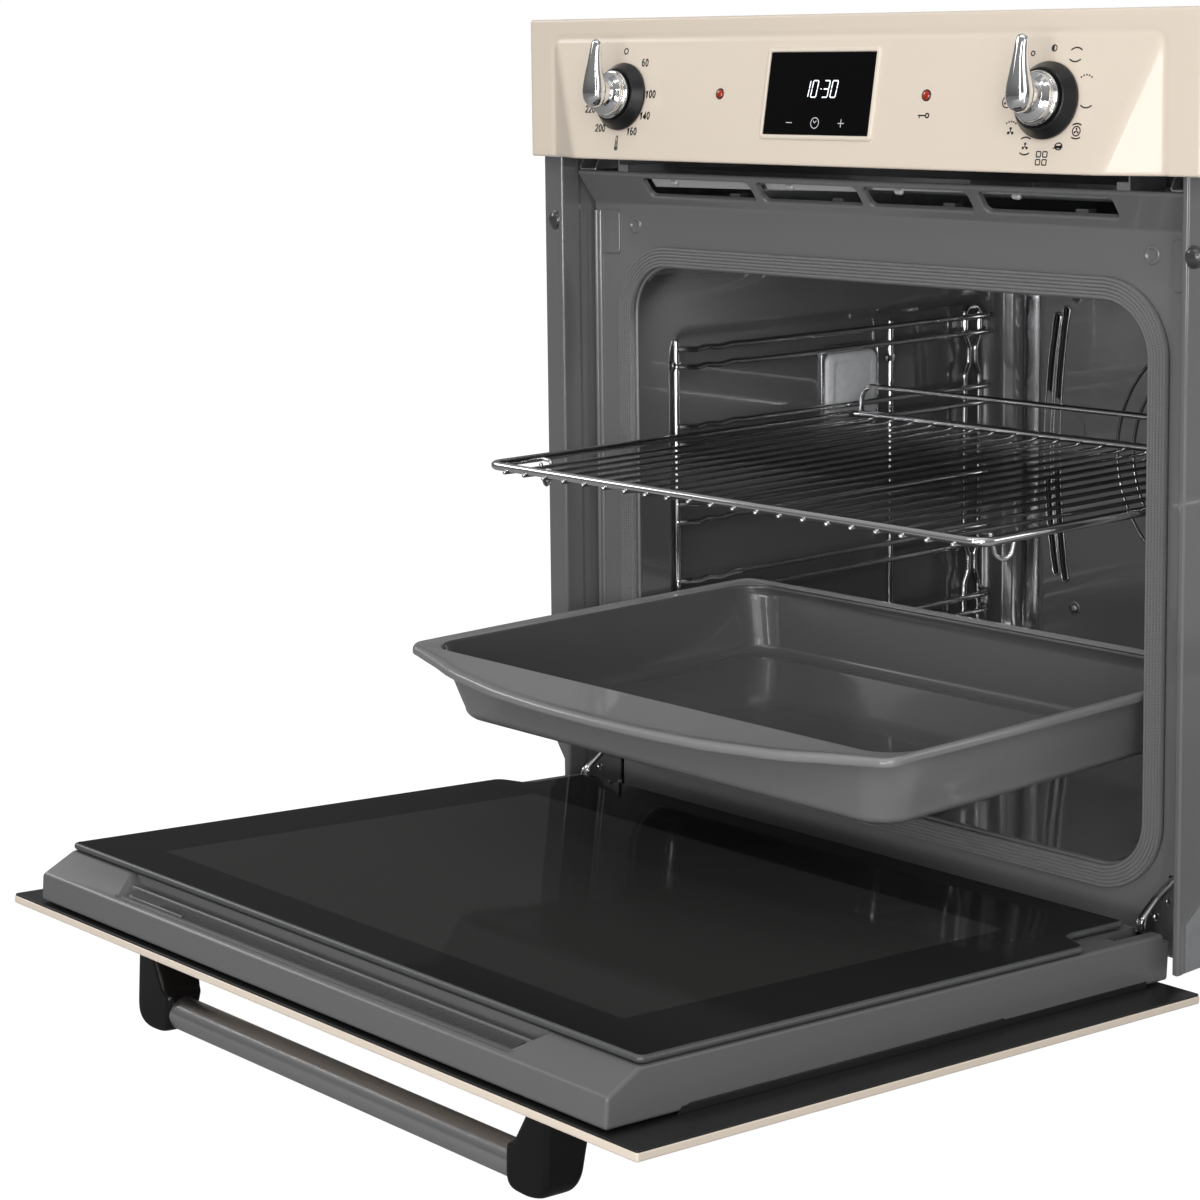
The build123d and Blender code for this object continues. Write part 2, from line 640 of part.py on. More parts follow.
# ================================================================ hinges: fixed pockets with sector plates
PIN_R = 3.0
for side, s in (("left", -1), ("right", 1)):
    with BuildPart() as hinge_pocket:
        for dx in (-2.9, 2.9):
            with BuildSketch(side_at(s * (HINGE_X + dx))):
                with BuildLine():
                    Polyline((176, 6.0), (176, 62.0), (60, 62.0), (44.5, 52.6), (42.0, 52.6), (24.0, 44.5), (7.5, 33.5),
                             (5.2, 29.0), (6.5, 24.0), (11.0, 6.5), (19.0, 4.2), (30.0, 5.0), (44.5, 5.0), close=True)
                make_face()
                with Locations((HINGE_Y, HINGE_Z)):
                    Circle(PIN_R + 0.06, mode=Mode.SUBTRACT)
            extrude(amount=0.6, both=True)
        # bright folded rails along the sloping front edge of both plates
        for dx in (-3.7, 3.7):
            with BuildSketch(side_at(s * (HINGE_X + dx))):
                with BuildLine():
                    Polyline((41.5, 52.3), (24.0, 44.2), (7.7, 33.3), (5.4, 29.0), (8.4, 29.4), (10.2, 31.7), (25.2, 41.8), (42.0, 49.6), close=True)
                make_face()
            extrude(amount=0.5, both=True)
        # web joining the plates behind the front frame
        with BuildSketch(side_at(s * (HINGE_X - 3.2))):
            with Locations((118, 60.8)):
                Rectangle(114, 2.2)
            with Locations((174.6, 34)):
                Rectangle(2.6, 55)
        extrude(amount=s * 6.4)
        # spring on its rod, hooked to the rear web
        with BuildSketch(face_at(173.5)):
            with Locations((s * HINGE_X, 34)):
                Circle(1.4)
        extrude(amount=110)
        with BuildSketch(face_at(160)):
            with Locations((s * HINGE_X, 34)):
                Circle(2.2)
        extrude(amount=84)
        # rivet behind the arm's sweep goes through both plates, the upper ones are stubs on the outside
        with BuildSketch(side_at(s * (HINGE_X - 4.7))):
            with Locations((40.5, 18.0)):
                Circle(2.3)
        extrude(amount=s * 9.4)
        for dx in (-3.5, 3.5):
            with BuildSketch(side_at(s * (HINGE_X + dx))):
                with Locations((22.5, 31.5)):
                    Circle(2.3)
            extrude(amount=s * (1.2 if dx > 0 else -1.2))
    save(hinge_pocket.part, "hinge_pocket_" + side)

# ================================================================ control fascia
with BuildPart() as fascia_wedge:
    with BuildSketch(side_at(-CREASE_X)):
        with BuildLine():
            Polyline((0.5, CREASE_Z), (0, CREASE_Z), (-(CREASE_Z - FASCIA_BOT) * tan(radians(LEAN)), FASCIA_BOT), (0.5, FASCIA_BOT), close=True)
        make_face()
    extrude(amount=2 * CREASE_X)
    with BuildSketch(level_at(FASCIA_BOT - 1)):
        with BuildLine():
            d = (CREASE_Z - FASCIA_BOT) * tan(radians(LEAN))
            Polyline((-CREASE_X, 0.5), (-CREASE_X, 0), (-FIELD_X, -d), (FIELD_X, -d), (CREASE_X, 0), (CREASE_X, 0.5), close=True)
        make_face()
    extrude(amount=CREASE_Z - FASCIA_BOT + 2, mode=Mode.INTERSECT)

with BuildPart() as fascia_hollow:
    with BuildSketch(side_at(-CREASE_X)):
        with BuildLine():
            Polyline((3, CREASE_Z), (1.6, CREASE_Z), (1.6 - (CREASE_Z - FASCIA_BOT) * tan(radians(LEAN)), FASCIA_BOT), (3, FASCIA_BOT), close=True)
        make_face()
    extrude(amount=2 * CREASE_X)
    with BuildSketch(level_at(FASCIA_BOT + 1.6)):
        with BuildLine():
            d = (CREASE_Z - FASCIA_BOT) * tan(radians(LEAN))
            Polyline((-CREASE_X + 1.5, 3), (-CREASE_X + 1.5, 1.4), (-FIELD_X + 1.2, 1.6 - d), (FIELD_X - 1.2, 1.6 - d),
                     (CREASE_X - 1.5, 1.4), (CREASE_X - 1.5, 3), close=True)
        make_face()
    extrude(amount=CREASE_Z - FASCIA_BOT, mode=Mode.INTERSECT)

with BuildPart() as control_fascia:
    with BuildSketch(face_at(12.0)):
        with Locations((0, (FASCIA_TOP + FASCIA_BOT) / 2)):
            RectangleRounded(FACE_W, FASCIA_TOP - FASCIA_BOT, 1.5)
    extrude(amount=12.0)
    rim = control_fascia.faces().sort_by(Axis.Y)[0].edges().filter_by(Axis.X) + control_fascia.faces().sort_by(Axis.Y)[0].edges().filter_by(Axis.Z)
    fillet(rim.group_by(Axis.Z)[-1], 1.0)
    add(fascia_wedge.part)
    with BuildSketch(face_at(12.1)):
        with Locations((0, (FASCIA_TOP + FASCIA_BOT) / 2)):
            Rectangle(FACE_W - 3.2, FASCIA_TOP - FASCIA_BOT - 3.2)
    extrude(amount=10.5, mode=Mode.SUBTRACT)
    add(fascia_hollow.part, mode=Mode.SUBTRACT)
    # shaft holes, lamp holes and the display window
    with BuildSketch(field_at(2)):
        with Locations((-KNOB_X, KNOB_V), (KNOB_X, KNOB_V)):
            Circle(5.0)
        with Locations((-LAMP_X, LAMP_V), (LAMP_X, LAMP_V)):
            Circle(2.6)
        with Locations((0, (DISP_V0 + DISP_V1) / 2)):
            Rectangle(2 * DISP_X + 0.4, DISP_V1 - DISP_V0 + 0.4)
    extrude(amount=-12, mode=Mode.SUBTRACT)
save(control_fascia.part, "control_fascia")

dv = (DISP_V0 + DISP_V1) / 2
dh = DISP_V1 - DISP_V0
with BuildPart() as display_bezel:
    with BuildSketch(field_at(0.02)):
        with Locations((0, dv)):
            RectangleRounded(2 * DISP_X + 5.4, dh + 5.4, 1.6)
            RectangleRounded(2 * DISP_X + 0.2, dh + 0.2, 0.8, mode=Mode.SUBTRACT)
    extrude(amount=1.5)
save(display_bezel.part, "display_bezel")

with BuildPart() as display_glass:
    with BuildSketch(field_at(-2.4)):
        with Locations((0, dv)):
            RectangleRounded(2 * DISP_X - 0.1, dh - 0.1, 0.8)
    extrude(amount=3.2)
save(display_glass.part, "display_glass")

with BuildPart() as display_module:
    with BuildSketch(field_at(-13.9)):
        with Locations((0, dv)):
            Rectangle(2 * DISP_X - 3, dh - 3)
    extrude(amount=11.4)
save(display_module.part, "display_module")

with BuildPart() as indicator_lenses:
    with BuildSketch(field_at(-8)):
        with Locations((-LAMP_X, LAMP_V), (LAMP_X, LAMP_V)):
            Circle(2.5)
    extrude(amount=9.2)
    with BuildSketch(field_at(0.02)):
        with Locations((-LAMP_X, LAMP_V), (LAMP_X, LAMP_V)):
            Circle(3.1)
    extrude(amount=1.0)
save(indicator_lenses.part, "indicator_lenses")

with BuildPart() as control_bracket:
    with BuildSketch(field_at(-15.2)):
        with Locations((0, -42)):
            Rectangle(460, 62)
        with Locations((-KNOB_X, KNOB_V), (KNOB_X, KNOB_V)):
            Circle(6.0, mode=Mode.SUBTRACT)
    extrude(amount=1.2)
    # side cheeks running back over the duct
    for s in (-1, 1):
        with BuildSketch(side_at(s * 229.4)):
            with BuildLine():
                Polyline((2.0, 504), (12.6, 564), (60, 564), (60, 486.0), (24, 486.0), (24, 504), close=True)
            make_face()
        extrude(amount=0.6, both=True)
    with BuildSketch(level_at(481.75)):
        for s in (-1, 1):
            with Locations((s * 225, 42)):
                Rectangle(10, 35.8)
    extrude(amount=4.9)
save(control_bracket.part, "control_bracket")

for nm, s in (("thermostat", -1), ("selector", 1)):
    with BuildPart() as body:
        with BuildSketch(field_at(-38)):
            with Locations((s * KNOB_X, KNOB_V)):
                Rectangle(44, 40)
        extrude(amount=22.7)
        with BuildSketch(field_at(-15.3)):
            with Locations((s * KNOB_X, KNOB_V)):
                Circle(5.8)
        extrude(amount=4.0)
        with BuildSketch(field_at(-34)):
            with Locations((s * KNOB_X, KNOB_V)):
                Circle(3.05)
        extrude(amount=30, mode=Mode.SUBTRACT)
    save(body.part, nm + "_switch")

# ================================================================ knobs
for nm, s in (("thermostat", -1), ("function", 1)):
    X0 = s * KNOB_X
    with BuildPart() as shaft:
        with BuildSketch(field_at(-33.6)):
            with Locations((X0, KNOB_V)):
                Circle(3.0)
        extrude(amount=33.6 + 20.0)
    save(shaft.part, nm + "_shaft")

    with BuildPart() as skirt:
        with BuildSketch(field_at(0.6)):
            with Locations((X0, KNOB_V)):
                Circle(24.0)
        extrude(amount=2.0)
        with BuildSketch(field_at(2.6)):
            with Locations((X0, KNOB_V)):
                Circle(24.0)
        with BuildSketch(field_at(9.6)):
            with Locations((X0, KNOB_V)):
                Circle(19.2)
        loft()
        with BuildSketch(field_at(0)):
            with Locations((X0, KNOB_V)):
                Circle(3.0)
        extrude(amount=12, mode=Mode.SUBTRACT)
        # hollow under side
        with BuildSketch(field_at(0.5)):
            with Locations((X0, KNOB_V)):
                Circle(21.5)
                Circle(7.0, mode=Mode.SUBTRACT)
        extrude(amount=5.0, mode=Mode.SUBTRACT)
    save(skirt.part, nm + "_skirt")

    with BuildPart() as lever:
        # outline seen from the front
        with BuildSketch(field_at(22.5)):
            with Locations((X0, KNOB_V)):
                Circle(10.0)
            with BuildLine():
                Polyline((X0 - 9.6, KNOB_V + 2.6), (X0 - 4.2, KNOB_V + 31.2), (X0 + 4.2, KNOB_V + 31.2), (X0 + 9.6, KNOB_V + 2.6), close=True)
            make_face()
            with Locations((X0, KNOB_V + 31)):
                Circle(4.4)
        extrude(amount=13)
        # outline seen from the side, through the axis
        with BuildSketch(Plane(origin=(X0 - 12, YF + KNOB_V * SL, CREASE_Z + KNOB_V * CL), x_dir=(0, SL, CL), z_dir=(1, 0, 0))):
            with BuildLine():
                # local x up the field, local y outward
                Polyline((-10.5, 22.6), (-10.5, 30.5), (-5.0, 33.8), (6.0, 34.6), (33.0, 34.0), (35.6, 32.6), (35.8, 30.0),
                         (33.0, 28.2), (16.0, 26.4), (9.5, 22.6), close=True)
            make_face()
        extrude(amount=24, mode=Mode.INTERSECT)
    with BuildPart() as knob:
        with BuildSketch(field_at(9.62)):
            with Locations((X0, KNOB_V)):
                Circle(17.0)
        extrude(amount=3.4)
        with BuildSketch(field_at(13.0)):
            with Locations((X0, KNOB_V)):
                Circle(15.0)
        extrude(amount=3.6)
        with BuildSketch(field_at(16.6)):
            with Locations((X0, KNOB_V)):
                Circle(15.0)
        with BuildSketch(field_at(20.0)):
            with Locations((X0, KNOB_V)):
                Circle(9.4)
        loft()
        with BuildSketch(field_at(20.0)):
            with Locations((X0, KNOB_V)):
                Circle(9.4)
        extrude(amount=5.0)
        add(lever.part)
        with BuildSketch(field_at(9.0)):
            with Locations((X0, KNOB_V)):
                Circle(3.0)
        extrude(amount=11.0, mode=Mode.SUBTRACT)
    save(knob.part, nm + "_knob")

# ================================================================ door (modelled open, free edge raised)
with BuildPart() as door_outer_panel:
    with BuildSketch(door_at(-6.0)):
        with Locations((0, DOOR_L / 2)):
            RectangleRounded(FACE_W, DOOR_L, 2.0)
            with Locations((0, 5)):
                RectangleRounded(400, 270, 16, mode=Mode.SUBTRACT)
    extrude(amount=5.0)
    with BuildSketch(door_at(-6.1)):
        for s in (-1, 1):
            with Locations((s * 188, 52)):
                Circle(2.7)
    extrude(amount=6, mode=Mode.SUBTRACT)
save(door_outer_panel.part, "door_outer_panel")

with BuildPart() as door_liner:
    with BuildSketch(door_at(-0.98)):
        with Locations((0, DOOR_L / 2)):
            RectangleRounded(FACE_W - 1.0, DOOR_L - 1.0, 1.6)
            with Locations((0, 5)):
                RectangleRounded(400, 270, 16, mode=Mode.SUBTRACT)
        for s in (-1, 1):
            with Locations((s * 188, 52)):
                Circle(5.2, mode=Mode.SUBTRACT)
    extrude(amount=0.98)
save(door_liner.part, "door_liner")

with BuildPart() as door_outer_glass:
    with BuildSketch(door_at(-5.0)):
        with Locations((0, DOOR_L / 2 + 5)):
            RectangleRounded(399.4, 269.4, 15.7)
    extrude(amount=4.0)
save(door_outer_glass.part, "door_outer_glass")

WIN_X, WIN_S0, WIN_S1 = 224.0, 62.0, 400.0
with BuildPart() as door_frame:
    # section through the frame, run across the whole width
    with BuildSketch(door_side(-271.0)):
        with BuildLine():
            Polyline((4.0, 1.5), (4.0, 18.0), (5.2, 20.0), (25.6, 30.4), (28.0, 31.0), (474.0, 31.0), (474.0, 26.0), (466.0, 26.0),
                     (466.0, 1.5), close=True)
        make_face()
    extrude(amount=542.0)
    # window through the frame, with a step for the middle glass
    with BuildSketch(door_at(0)):
        with Locations((0, (WIN_S0 + WIN_S1) / 2)):
            RectangleRounded(2 * WIN_X, WIN_S1 - WIN_S0, 12)
    extrude(amount=40, mode=Mode.SUBTRACT)
    with BuildSketch(door_at(14.0)):
        with Locations((0, (WIN_S0 + WIN_S1) / 2)):
            Rectangle(2 * WIN_X + 26, WIN_S1 - WIN_S0 + 20)
    extrude(amount=20, mode=Mode.SUBTRACT)
    # channel along the free edge between the two end blocks
    with BuildSketch(door_side(-200.0)):
        with BuildLine():
            Polyline((9.5, 40), (9.5, 19.0), (24.5, 19.0), (24.5, 27.0), (27.5, 27.0), (27.5, 20.0), (41.0, 20.0), (41.0, 40), close=True)
        make_face()
    extrude(amount=400.0, mode=Mode.SUBTRACT)
    with BuildSketch(door_side(-200.0)):
        with BuildLine():
            Polyline((0, 40), (0, 20.2), (8.0, 20.2), (8.0, 40), close=True)
        make_face()
    extrude(amount=400.0, mode=Mode.SUBTRACT)
    # hinge slots, open at the hinge edge
    with BuildSketch(door_at(1.0)):
        for s in (-1, 1):
            with Locations((s * HINGE_X, 452.0)):
                Rectangle(12.4, 46.0)
    extrude(amount=40, mode=Mode.SUBTRACT)
    # finger groove low in both side walls, with sloping ends
    for s in (-1, 1):
        with BuildSketch(door_side(s * 268.0)):
            with BuildLine():
                Polyline((58, 0), (62, 5.2), (316, 5.2), (320, 0), close=True)
            make_face()
        extrude(amount=s * 4, mode=Mode.SUBTRACT)
save(door_frame.part, "door_frame")

with BuildPart() as door_vent_strip:
    with BuildSketch(door_side(-199.6)):
        with BuildLine():
            Polyline((9.7, 19.1), (9.7, 21.4), (24.3, 24.6), (24.3, 19.1), close=True)
        make_face()
    extrude(amount=399.2)
    with BuildSketch(door_at(20.6)):
        with GridLocations(3.6, 10, 109, 1):
            with Locations((0, 16.6)):
                Rectangle(1.6, 10.0)
    extrude(amount=6, mode=Mode.SUBTRACT)
save(door_vent_strip.part, "door_vent_strip")

with BuildPart() as door_inner_glass:
    with BuildSketch(door_at(GLASS_H0)):
        with Locations((0, (GLASS_S0 + GLASS_S1) / 2)):
            RectangleRounded(2 * GLASS_X, GLASS_S1 - GLASS_S0, 4)
        for s in (-1, 1):
            with BuildLine():
                Line((s * 276, 385.5), (s * 271.4, 387.5))
                Spline((s * 271.4, 387.5), (s * 262.5, 398), (s * 255.5, 418), (s * 249.2, 436), (s * 248.2, 450), (s * 248.6, 462))
                Line((s * 248.6, 462), (s * 276, 462))
                Line((s * 276, 462), (s * 276, 385.5))
            make_face(mode=Mode.SUBTRACT)
    extrude(amount=GLASS_H1 - GLASS_H0)
    fillet(door_inner_glass.faces().filter_by(GeomType.PLANE).sort_by(Axis.Z)[-1].edges().filter_by(GeomType.LINE).sort_by(Axis.Y)[0:1], 0.8)
save(door_inner_glass.part, "door_inner_glass")

with BuildPart() as door_middle_glass:
    with BuildSketch(door_at(14.05)):
        with Locations((0, (WIN_S0 + WIN_S1) / 2)):
            RectangleRounded(2 * WIN_X + 22, WIN_S1 - WIN_S0 + 16, 4)
    extrude(amount=4.0)
save(door_middle_glass.part, "door_middle_glass")

with BuildPart() as glass_clips:
    # corner clips over the middle glass and pads under the inner glass
    with BuildSketch(door_at(18.08)):
        for sx in (-1, 1):
            for sp in (WIN_S0 - 1, WIN_S1 + 1):
                with Locations((sx * (WIN_X + 3), sp)):
                    Rectangle(16, 14)
    extrude(amount=13.9)
    with BuildSketch(door_at(31.02)):
        for sx in (-1, 1):
            for sp in (130, 230, 330):
                with Locations((sx * 254, sp)):
                    Rectangle(14, 30)
        with Locations((-120, 415), (120, 415), (0, 415)):
            Rectangle(30, 10)
        with Locations((-235, 34), (235, 34)):
            Rectangle(30, 8)
    extrude(amount=0.96)
save(glass_clips.part, "glass_clips")

# ---------------------------------------------------------------- handle
with BuildPart() as handle_bar:
    with BuildSketch(door_side(-172.0)):
        with Locations((BAR_S, BAR_H)):
            Circle(BAR_R)
            Circle(BAR_R - 1.5, mode=Mode.SUBTRACT)
    extrude(amount=344.0)
save(handle_bar.part, "handle_bar")

posts = []
for s in (-1, 1):
    # front outline, X across and h down, run along s
    with BuildPart() as post:
        with BuildSketch(Plane(origin=door_at(0).origin + Vector(0, CD, -SD) * 29.0, x_dir=(1, 0, 0), z_dir=(0, -CD, SD))):
            with BuildLine():
                # local y is +h on this plane
                Line((s * 198.0, -6.02), (s * 198.0, -44.0))
                RadiusArc((s * 198.0, -44.0), (s * 178.0, -65.5), s * 22.0)
                Line((s * 178.0, -65.5), (s * 162.0, -65.5))
                Line((s * 162.0, -65.5), (s * 162.0, -40.8))
                Line((s * 162.0, -40.8), (s * 168.5, -38.0))
                RadiusArc((s * 168.5, -38.0), (s * 179.0, -18.0), -s * 30.0)
                Line((s * 179.0, -18.0), (s * 180.5, -6.02))
                Line((s * 180.5, -6.02), (s * 198.0, -6.02))
            make_face()
        extrude(amount=-38.0)
        # side outline, s along and h down
        with BuildSketch(door_side(s * 155.0)):
            with BuildLine():
                Polyline((41.0, -6.0), (39.0, -28.0), (33.0, -40.0), (30.6, -47.0), (30.4, -57.0), (34.0, -63.0), (40.0, -65.6), (48.0, -65.6),
                         (54.5, -61.0), (58.0, -50.0), (61.5, -30.0), (64.0, -6.0), close=True)
            make_face()
        extrude(amount=s * 50.0, mode=Mode.INTERSECT)
        with BuildSketch(door_side(s * 150.0)):
            with Locations((BAR_S, BAR_H)):
                Circle(BAR_R + 0.05)
        extrude(amount=s * 22.05, mode=Mode.SUBTRACT)
        with BuildSketch(door_at(-5.0)):
            with Locations((s * 188, 52)):
                Circle(2.45)
        extrude(amount=-24, mode=Mode.SUBTRACT)
    posts.append(post.part)

with BuildPart() as handle_posts:
    add(posts)
save(handle_posts.part, "handle_posts")

with BuildPart() as handle_screws:
    with BuildSketch(door_at(-26.0)):
        for s in (-1, 1):
            with Locations((s * 188, 52)):
                Circle(2.4)
    extrude(amount=25.1)
    with BuildSketch(door_at(-0.95)):
        for s in (-1, 1):
            with Locations((s * 188, 52)):
                Circle(4.8)
    extrude(amount=2.2)
save(handle_screws.part, "handle_screws")

# ---------------------------------------------------------------- hinge arms riding with the door
for side, s in (("left", -1), ("right", 1)):
    with BuildPart() as hinge_arm:
        with BuildSketch(door_side(s * HINGE_X)):
            with Locations((475.0, 18.0)):
                Circle(8.0)
            with Locations((452.5, 17.0)):
                Rectangle(45.0, 12.0)
        extrude(amount=1.9, both=True)
        with BuildSketch(door_side(s * HINGE_X)):
            with Locations((475.0, 18.0)):
                Circle(PIN_R)
        extrude(amount=4.9, both=True)
        # claw plate lying in the door's slot
        with BuildSketch(door_side(s * HINGE_X)):
            with Locations((436.0, 20.0)):
                Rectangle(9.0, 18.0)
        extrude(amount=5.6, both=True)
    save(hinge_arm.part, "hinge_arm_" + side)

# ================================================================ wire shelf
with BuildPart() as wire_shelf:
    for s in (-1, 1):
        with BuildLine(level_at(SHELF_Z)):
            FilletPolyline((0, SHELF_Y0), (s * SHELF_X, SHELF_Y0), (s * SHELF_X, SHELF_Y1), (0, SHELF_Y1), radius=11)
        with BuildSketch(Plane(origin=(0, yy(SHELF_Y0), SHELF_Z), x_dir=(0, 1, 0), z_dir=(s, 0, 0))):
            Circle(2.75)
        sweep()
    # rods under the rim wire
    with BuildSketch(face_at(SHELF_Y1 + 3.2)):
        with Locations(*[(-205.0 + 20.5 * i, SHELF_Z - 3.3) for i in range(21)]):
            Circle(1.5)
    extrude(amount=SHELF_Y1 - SHELF_Y0 + 6.4)
    # two cross wires under the rods
    for y in (25.0, 150.0):
        with BuildSketch(side_at(-224.0)):
            with Locations((y, SHELF_Z - 0.4)):
                Circle(1.9)
        extrude(amount=448.0)
    # raised rear rail
    with BuildLine(face_at(SHELF_Y1)):
        FilletPolyline((-217.5, SHELF_Z), (-217.5, 303.0), (217.5, 303.0), (217.5, SHELF_Z), radius=6)
    with BuildSketch(Plane(origin=(-217.5, yy(SHELF_Y1), SHELF_Z), x_dir=(1, 0, 0), z_dir=(0, 0, 1))):
        Circle(2.4)
    sweep()
    # drop stops near the front corners
    for s in (-1, 1):
        with BuildLine(face_at(-68.0)):
            FilletPolyline((s * 200.5, SHELF_Z - 3.0), (s * 200.5, 264.5), (s * 211.5, 264.5), (s * 211.5, SHELF_Z - 1.0), (s * 222.6, SHELF_Z - 1.0), radius=4)
        with BuildSketch(Plane(origin=(s * 200.5, yy(-68.0), SHELF_Z - 3.0), x_dir=(1, 0, 0), z_dir=(0, 0, -1))):
            Circle(1.5)
        sweep()
save(wire_shelf.part, "wire_shelf")

# ================================================================ deep baking tray
TR_Y1 = 150.0          # rear wall, inside the rim
with BuildPart() as baking_tray:
    # basin outside
    with BuildSketch(level_at(113.0)):
        with Locations((0, (-163 + 138) / 2)):
            RectangleRounded(2 * 199, 301, 22)
    with BuildSketch(level_at(TRAY_Z)):
        with Locations((0, (-176 + TR_Y1) / 2)):
            RectangleRounded(2 * 217, TR_Y1 + 176, 30)
    loft()
    # rim with the bowed front flange
    with BuildSketch(level_at(TRAY_Z - 2.4)):
        with BuildLine():
            Line((-226, 132), (-226, -168))
            ThreePointArc((-226, -168), (-221.5, -181.0), (-210, -186.5))
            Spline((-210, -186.5), (-193, -192), (-150, -206), (-90, -216.5), (0, -221.5), (90, -216.5), (150, -206), (193, -192), (210, -186.5))
            ThreePointArc((210, -186.5), (221.5, -181.0), (226, -168))
            Line((226, -168), (226, 132))
            ThreePointArc((226, 132), (219.5, 148), (203, 155.5))
            Line((203, 155.5), (-203, 155.5))
            ThreePointArc((-203, 155.5), (-219.5, 148), (-226, 132))
        make_face()
    extrude(amount=2.4)
    # rolled edge along the sides and back
    with BuildSketch(level_at(TRAY_Z)):
        with Locations((0, -11)):
            RectangleRounded(2 * 223.5, 328, 26)
            RectangleRounded(2 * 219.5, 320, 24, mode=Mode.SUBTRACT)
        with Locations((0, -180)):
            Rectangle(380, 30, mode=Mode.SUBTRACT)
    extrude(amount=1.6)
    # basin inside
    with BuildSketch(level_at(114.4)):
        with Locations((0, (-163 + 138) / 2)):
            RectangleRounded(2 * 197.6, 298.2, 20.6)
    with BuildSketch(level_at(TRAY_Z + 0.01)):
        with Locations((0, (-176 + TR_Y1) / 2)):
            RectangleRounded(2 * 215.6, TR_Y1 + 176 - 2.8, 28.6)
    loft(mode=Mode.SUBTRACT)
save(baking_tray.part, "baking_tray")
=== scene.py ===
import bpy
import bmesh
from math import sin, cos, tan, pi, radians, degrees, hypot, atan2, sqrt, exp
from mathutils import Vector, Matrix


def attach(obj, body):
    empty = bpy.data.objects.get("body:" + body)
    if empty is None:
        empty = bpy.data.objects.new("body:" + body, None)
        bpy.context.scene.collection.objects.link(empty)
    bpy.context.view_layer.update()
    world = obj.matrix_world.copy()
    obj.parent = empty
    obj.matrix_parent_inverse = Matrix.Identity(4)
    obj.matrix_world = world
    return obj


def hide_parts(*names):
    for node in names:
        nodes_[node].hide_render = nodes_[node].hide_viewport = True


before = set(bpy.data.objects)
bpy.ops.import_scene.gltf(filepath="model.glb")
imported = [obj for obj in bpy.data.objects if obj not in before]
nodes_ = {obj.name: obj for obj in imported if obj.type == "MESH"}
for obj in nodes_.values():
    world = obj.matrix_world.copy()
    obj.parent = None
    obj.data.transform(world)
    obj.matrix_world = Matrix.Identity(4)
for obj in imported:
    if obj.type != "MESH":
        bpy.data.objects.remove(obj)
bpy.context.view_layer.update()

MM = 0.001
YF = -302.5                       # depth datum: the flat border of the fascia


# ------------------------------------------------------------------ local frames, all in millimetres
def W(x, y, z):
    """x across, y depth behind the fascia border, z up."""
    return (x * MM, (YF + y) * MM, z * MM)


CL, SL = cos(radians(10)), sin(radians(10))


def F(u, v, w):
    """Inclined fascia field: u across, v up from the crease, w outward."""
    return W(u, v * SL - w * CL, 577.0 + v * CL + w * SL)


CD, SD = cos(radians(4)), sin(radians(4))


def D(x, s, h):
    """Open door: x across, s from the free edge to the hinge, h towards the cavity side."""
    return W(x, -456.098 + s * CD + h * SD, 28.178 - s * SD + h * CD)


# ------------------------------------------------------------------ geometry builders: each returns points, faces, uvs
def smooth(t):
    t = min(1.0, max(0.0, t))
    return t * t * (3 - 2 * t)


def rrect(hx, hz, r, n=8, cx=0.0, cz=0.0, k=0, kz=None):
    """Rounded rectangle, anticlockwise from the right side of the top right corner; k points inside each straight run."""
    arcs = []
    for sx, sz, a0 in ((1, 1, 0), (-1, 1, 90), (-1, -1, 180), (1, -1, 270)):
        arcs.append([(cx + sx * (hx - r) + r * cos(radians(a0 + 90 * j / n)), cz + sz * (hz - r) + r * sin(radians(a0 + 90 * j / n)))
                     for j in range(n + 1)])
    out = []
    for i, arc in enumerate(arcs):
        out += arc
        a, b = arc[-1], arcs[(i + 1) % 4][0]
        kk = k if i % 2 == 0 else (k if kz is None else kz)
        out += [(a[0] + (b[0] - a[0]) * j / (kk + 1), a[1] + (b[1] - a[1]) * j / (kk + 1)) for j in range(1, kk + 1)]
    return out


def circle(r, n=48, cx=0.0, cz=0.0, a0=0.0):
    return [(cx + r * cos(a0 + 2 * pi * i / n), cz + r * sin(a0 + 2 * pi * i / n)) for i in range(n)]


def run(pts, closed=False):
    out = [0.0]
    q = list(pts) + ([pts[0]] if closed else [])
    for a, b in zip(q, q[1:]):
        out.append(out[-1] + sqrt(sum((p - o) ** 2 for p, o in zip(a, b))) * MM)
    return out


def loft(rings, closed=True, cap0=False, cap1=False, loop=False):
    n, R = len(rings[0]), len(rings)
    pts = [tuple(p) for ring in rings for p in ring]
    mid = rings[R // 2]
    u = run(mid, closed)
    v = run([ring[0] for ring in rings], loop)
    faces, uvs = [], []
    for i in range(R if loop else R - 1):
        a, b = i * n, ((i + 1) % R) * n
        for j in range(n if closed else n - 1):
            k = (j + 1) % n
            faces.append((a + j, a + k, b + k, b + j))
            uvs.append(((u[j], v[i]), (u[j + 1], v[i]), (u[j + 1], v[i + 1]), (u[j], v[i + 1])))
    if cap0:
        faces.append(tuple(range(n - 1, -1, -1)))
        uvs.append(None)
    if cap1:
        faces.append(tuple((R - 1) * n + i for i in range(n)))
        uvs.append(None)
    return pts, faces, uvs


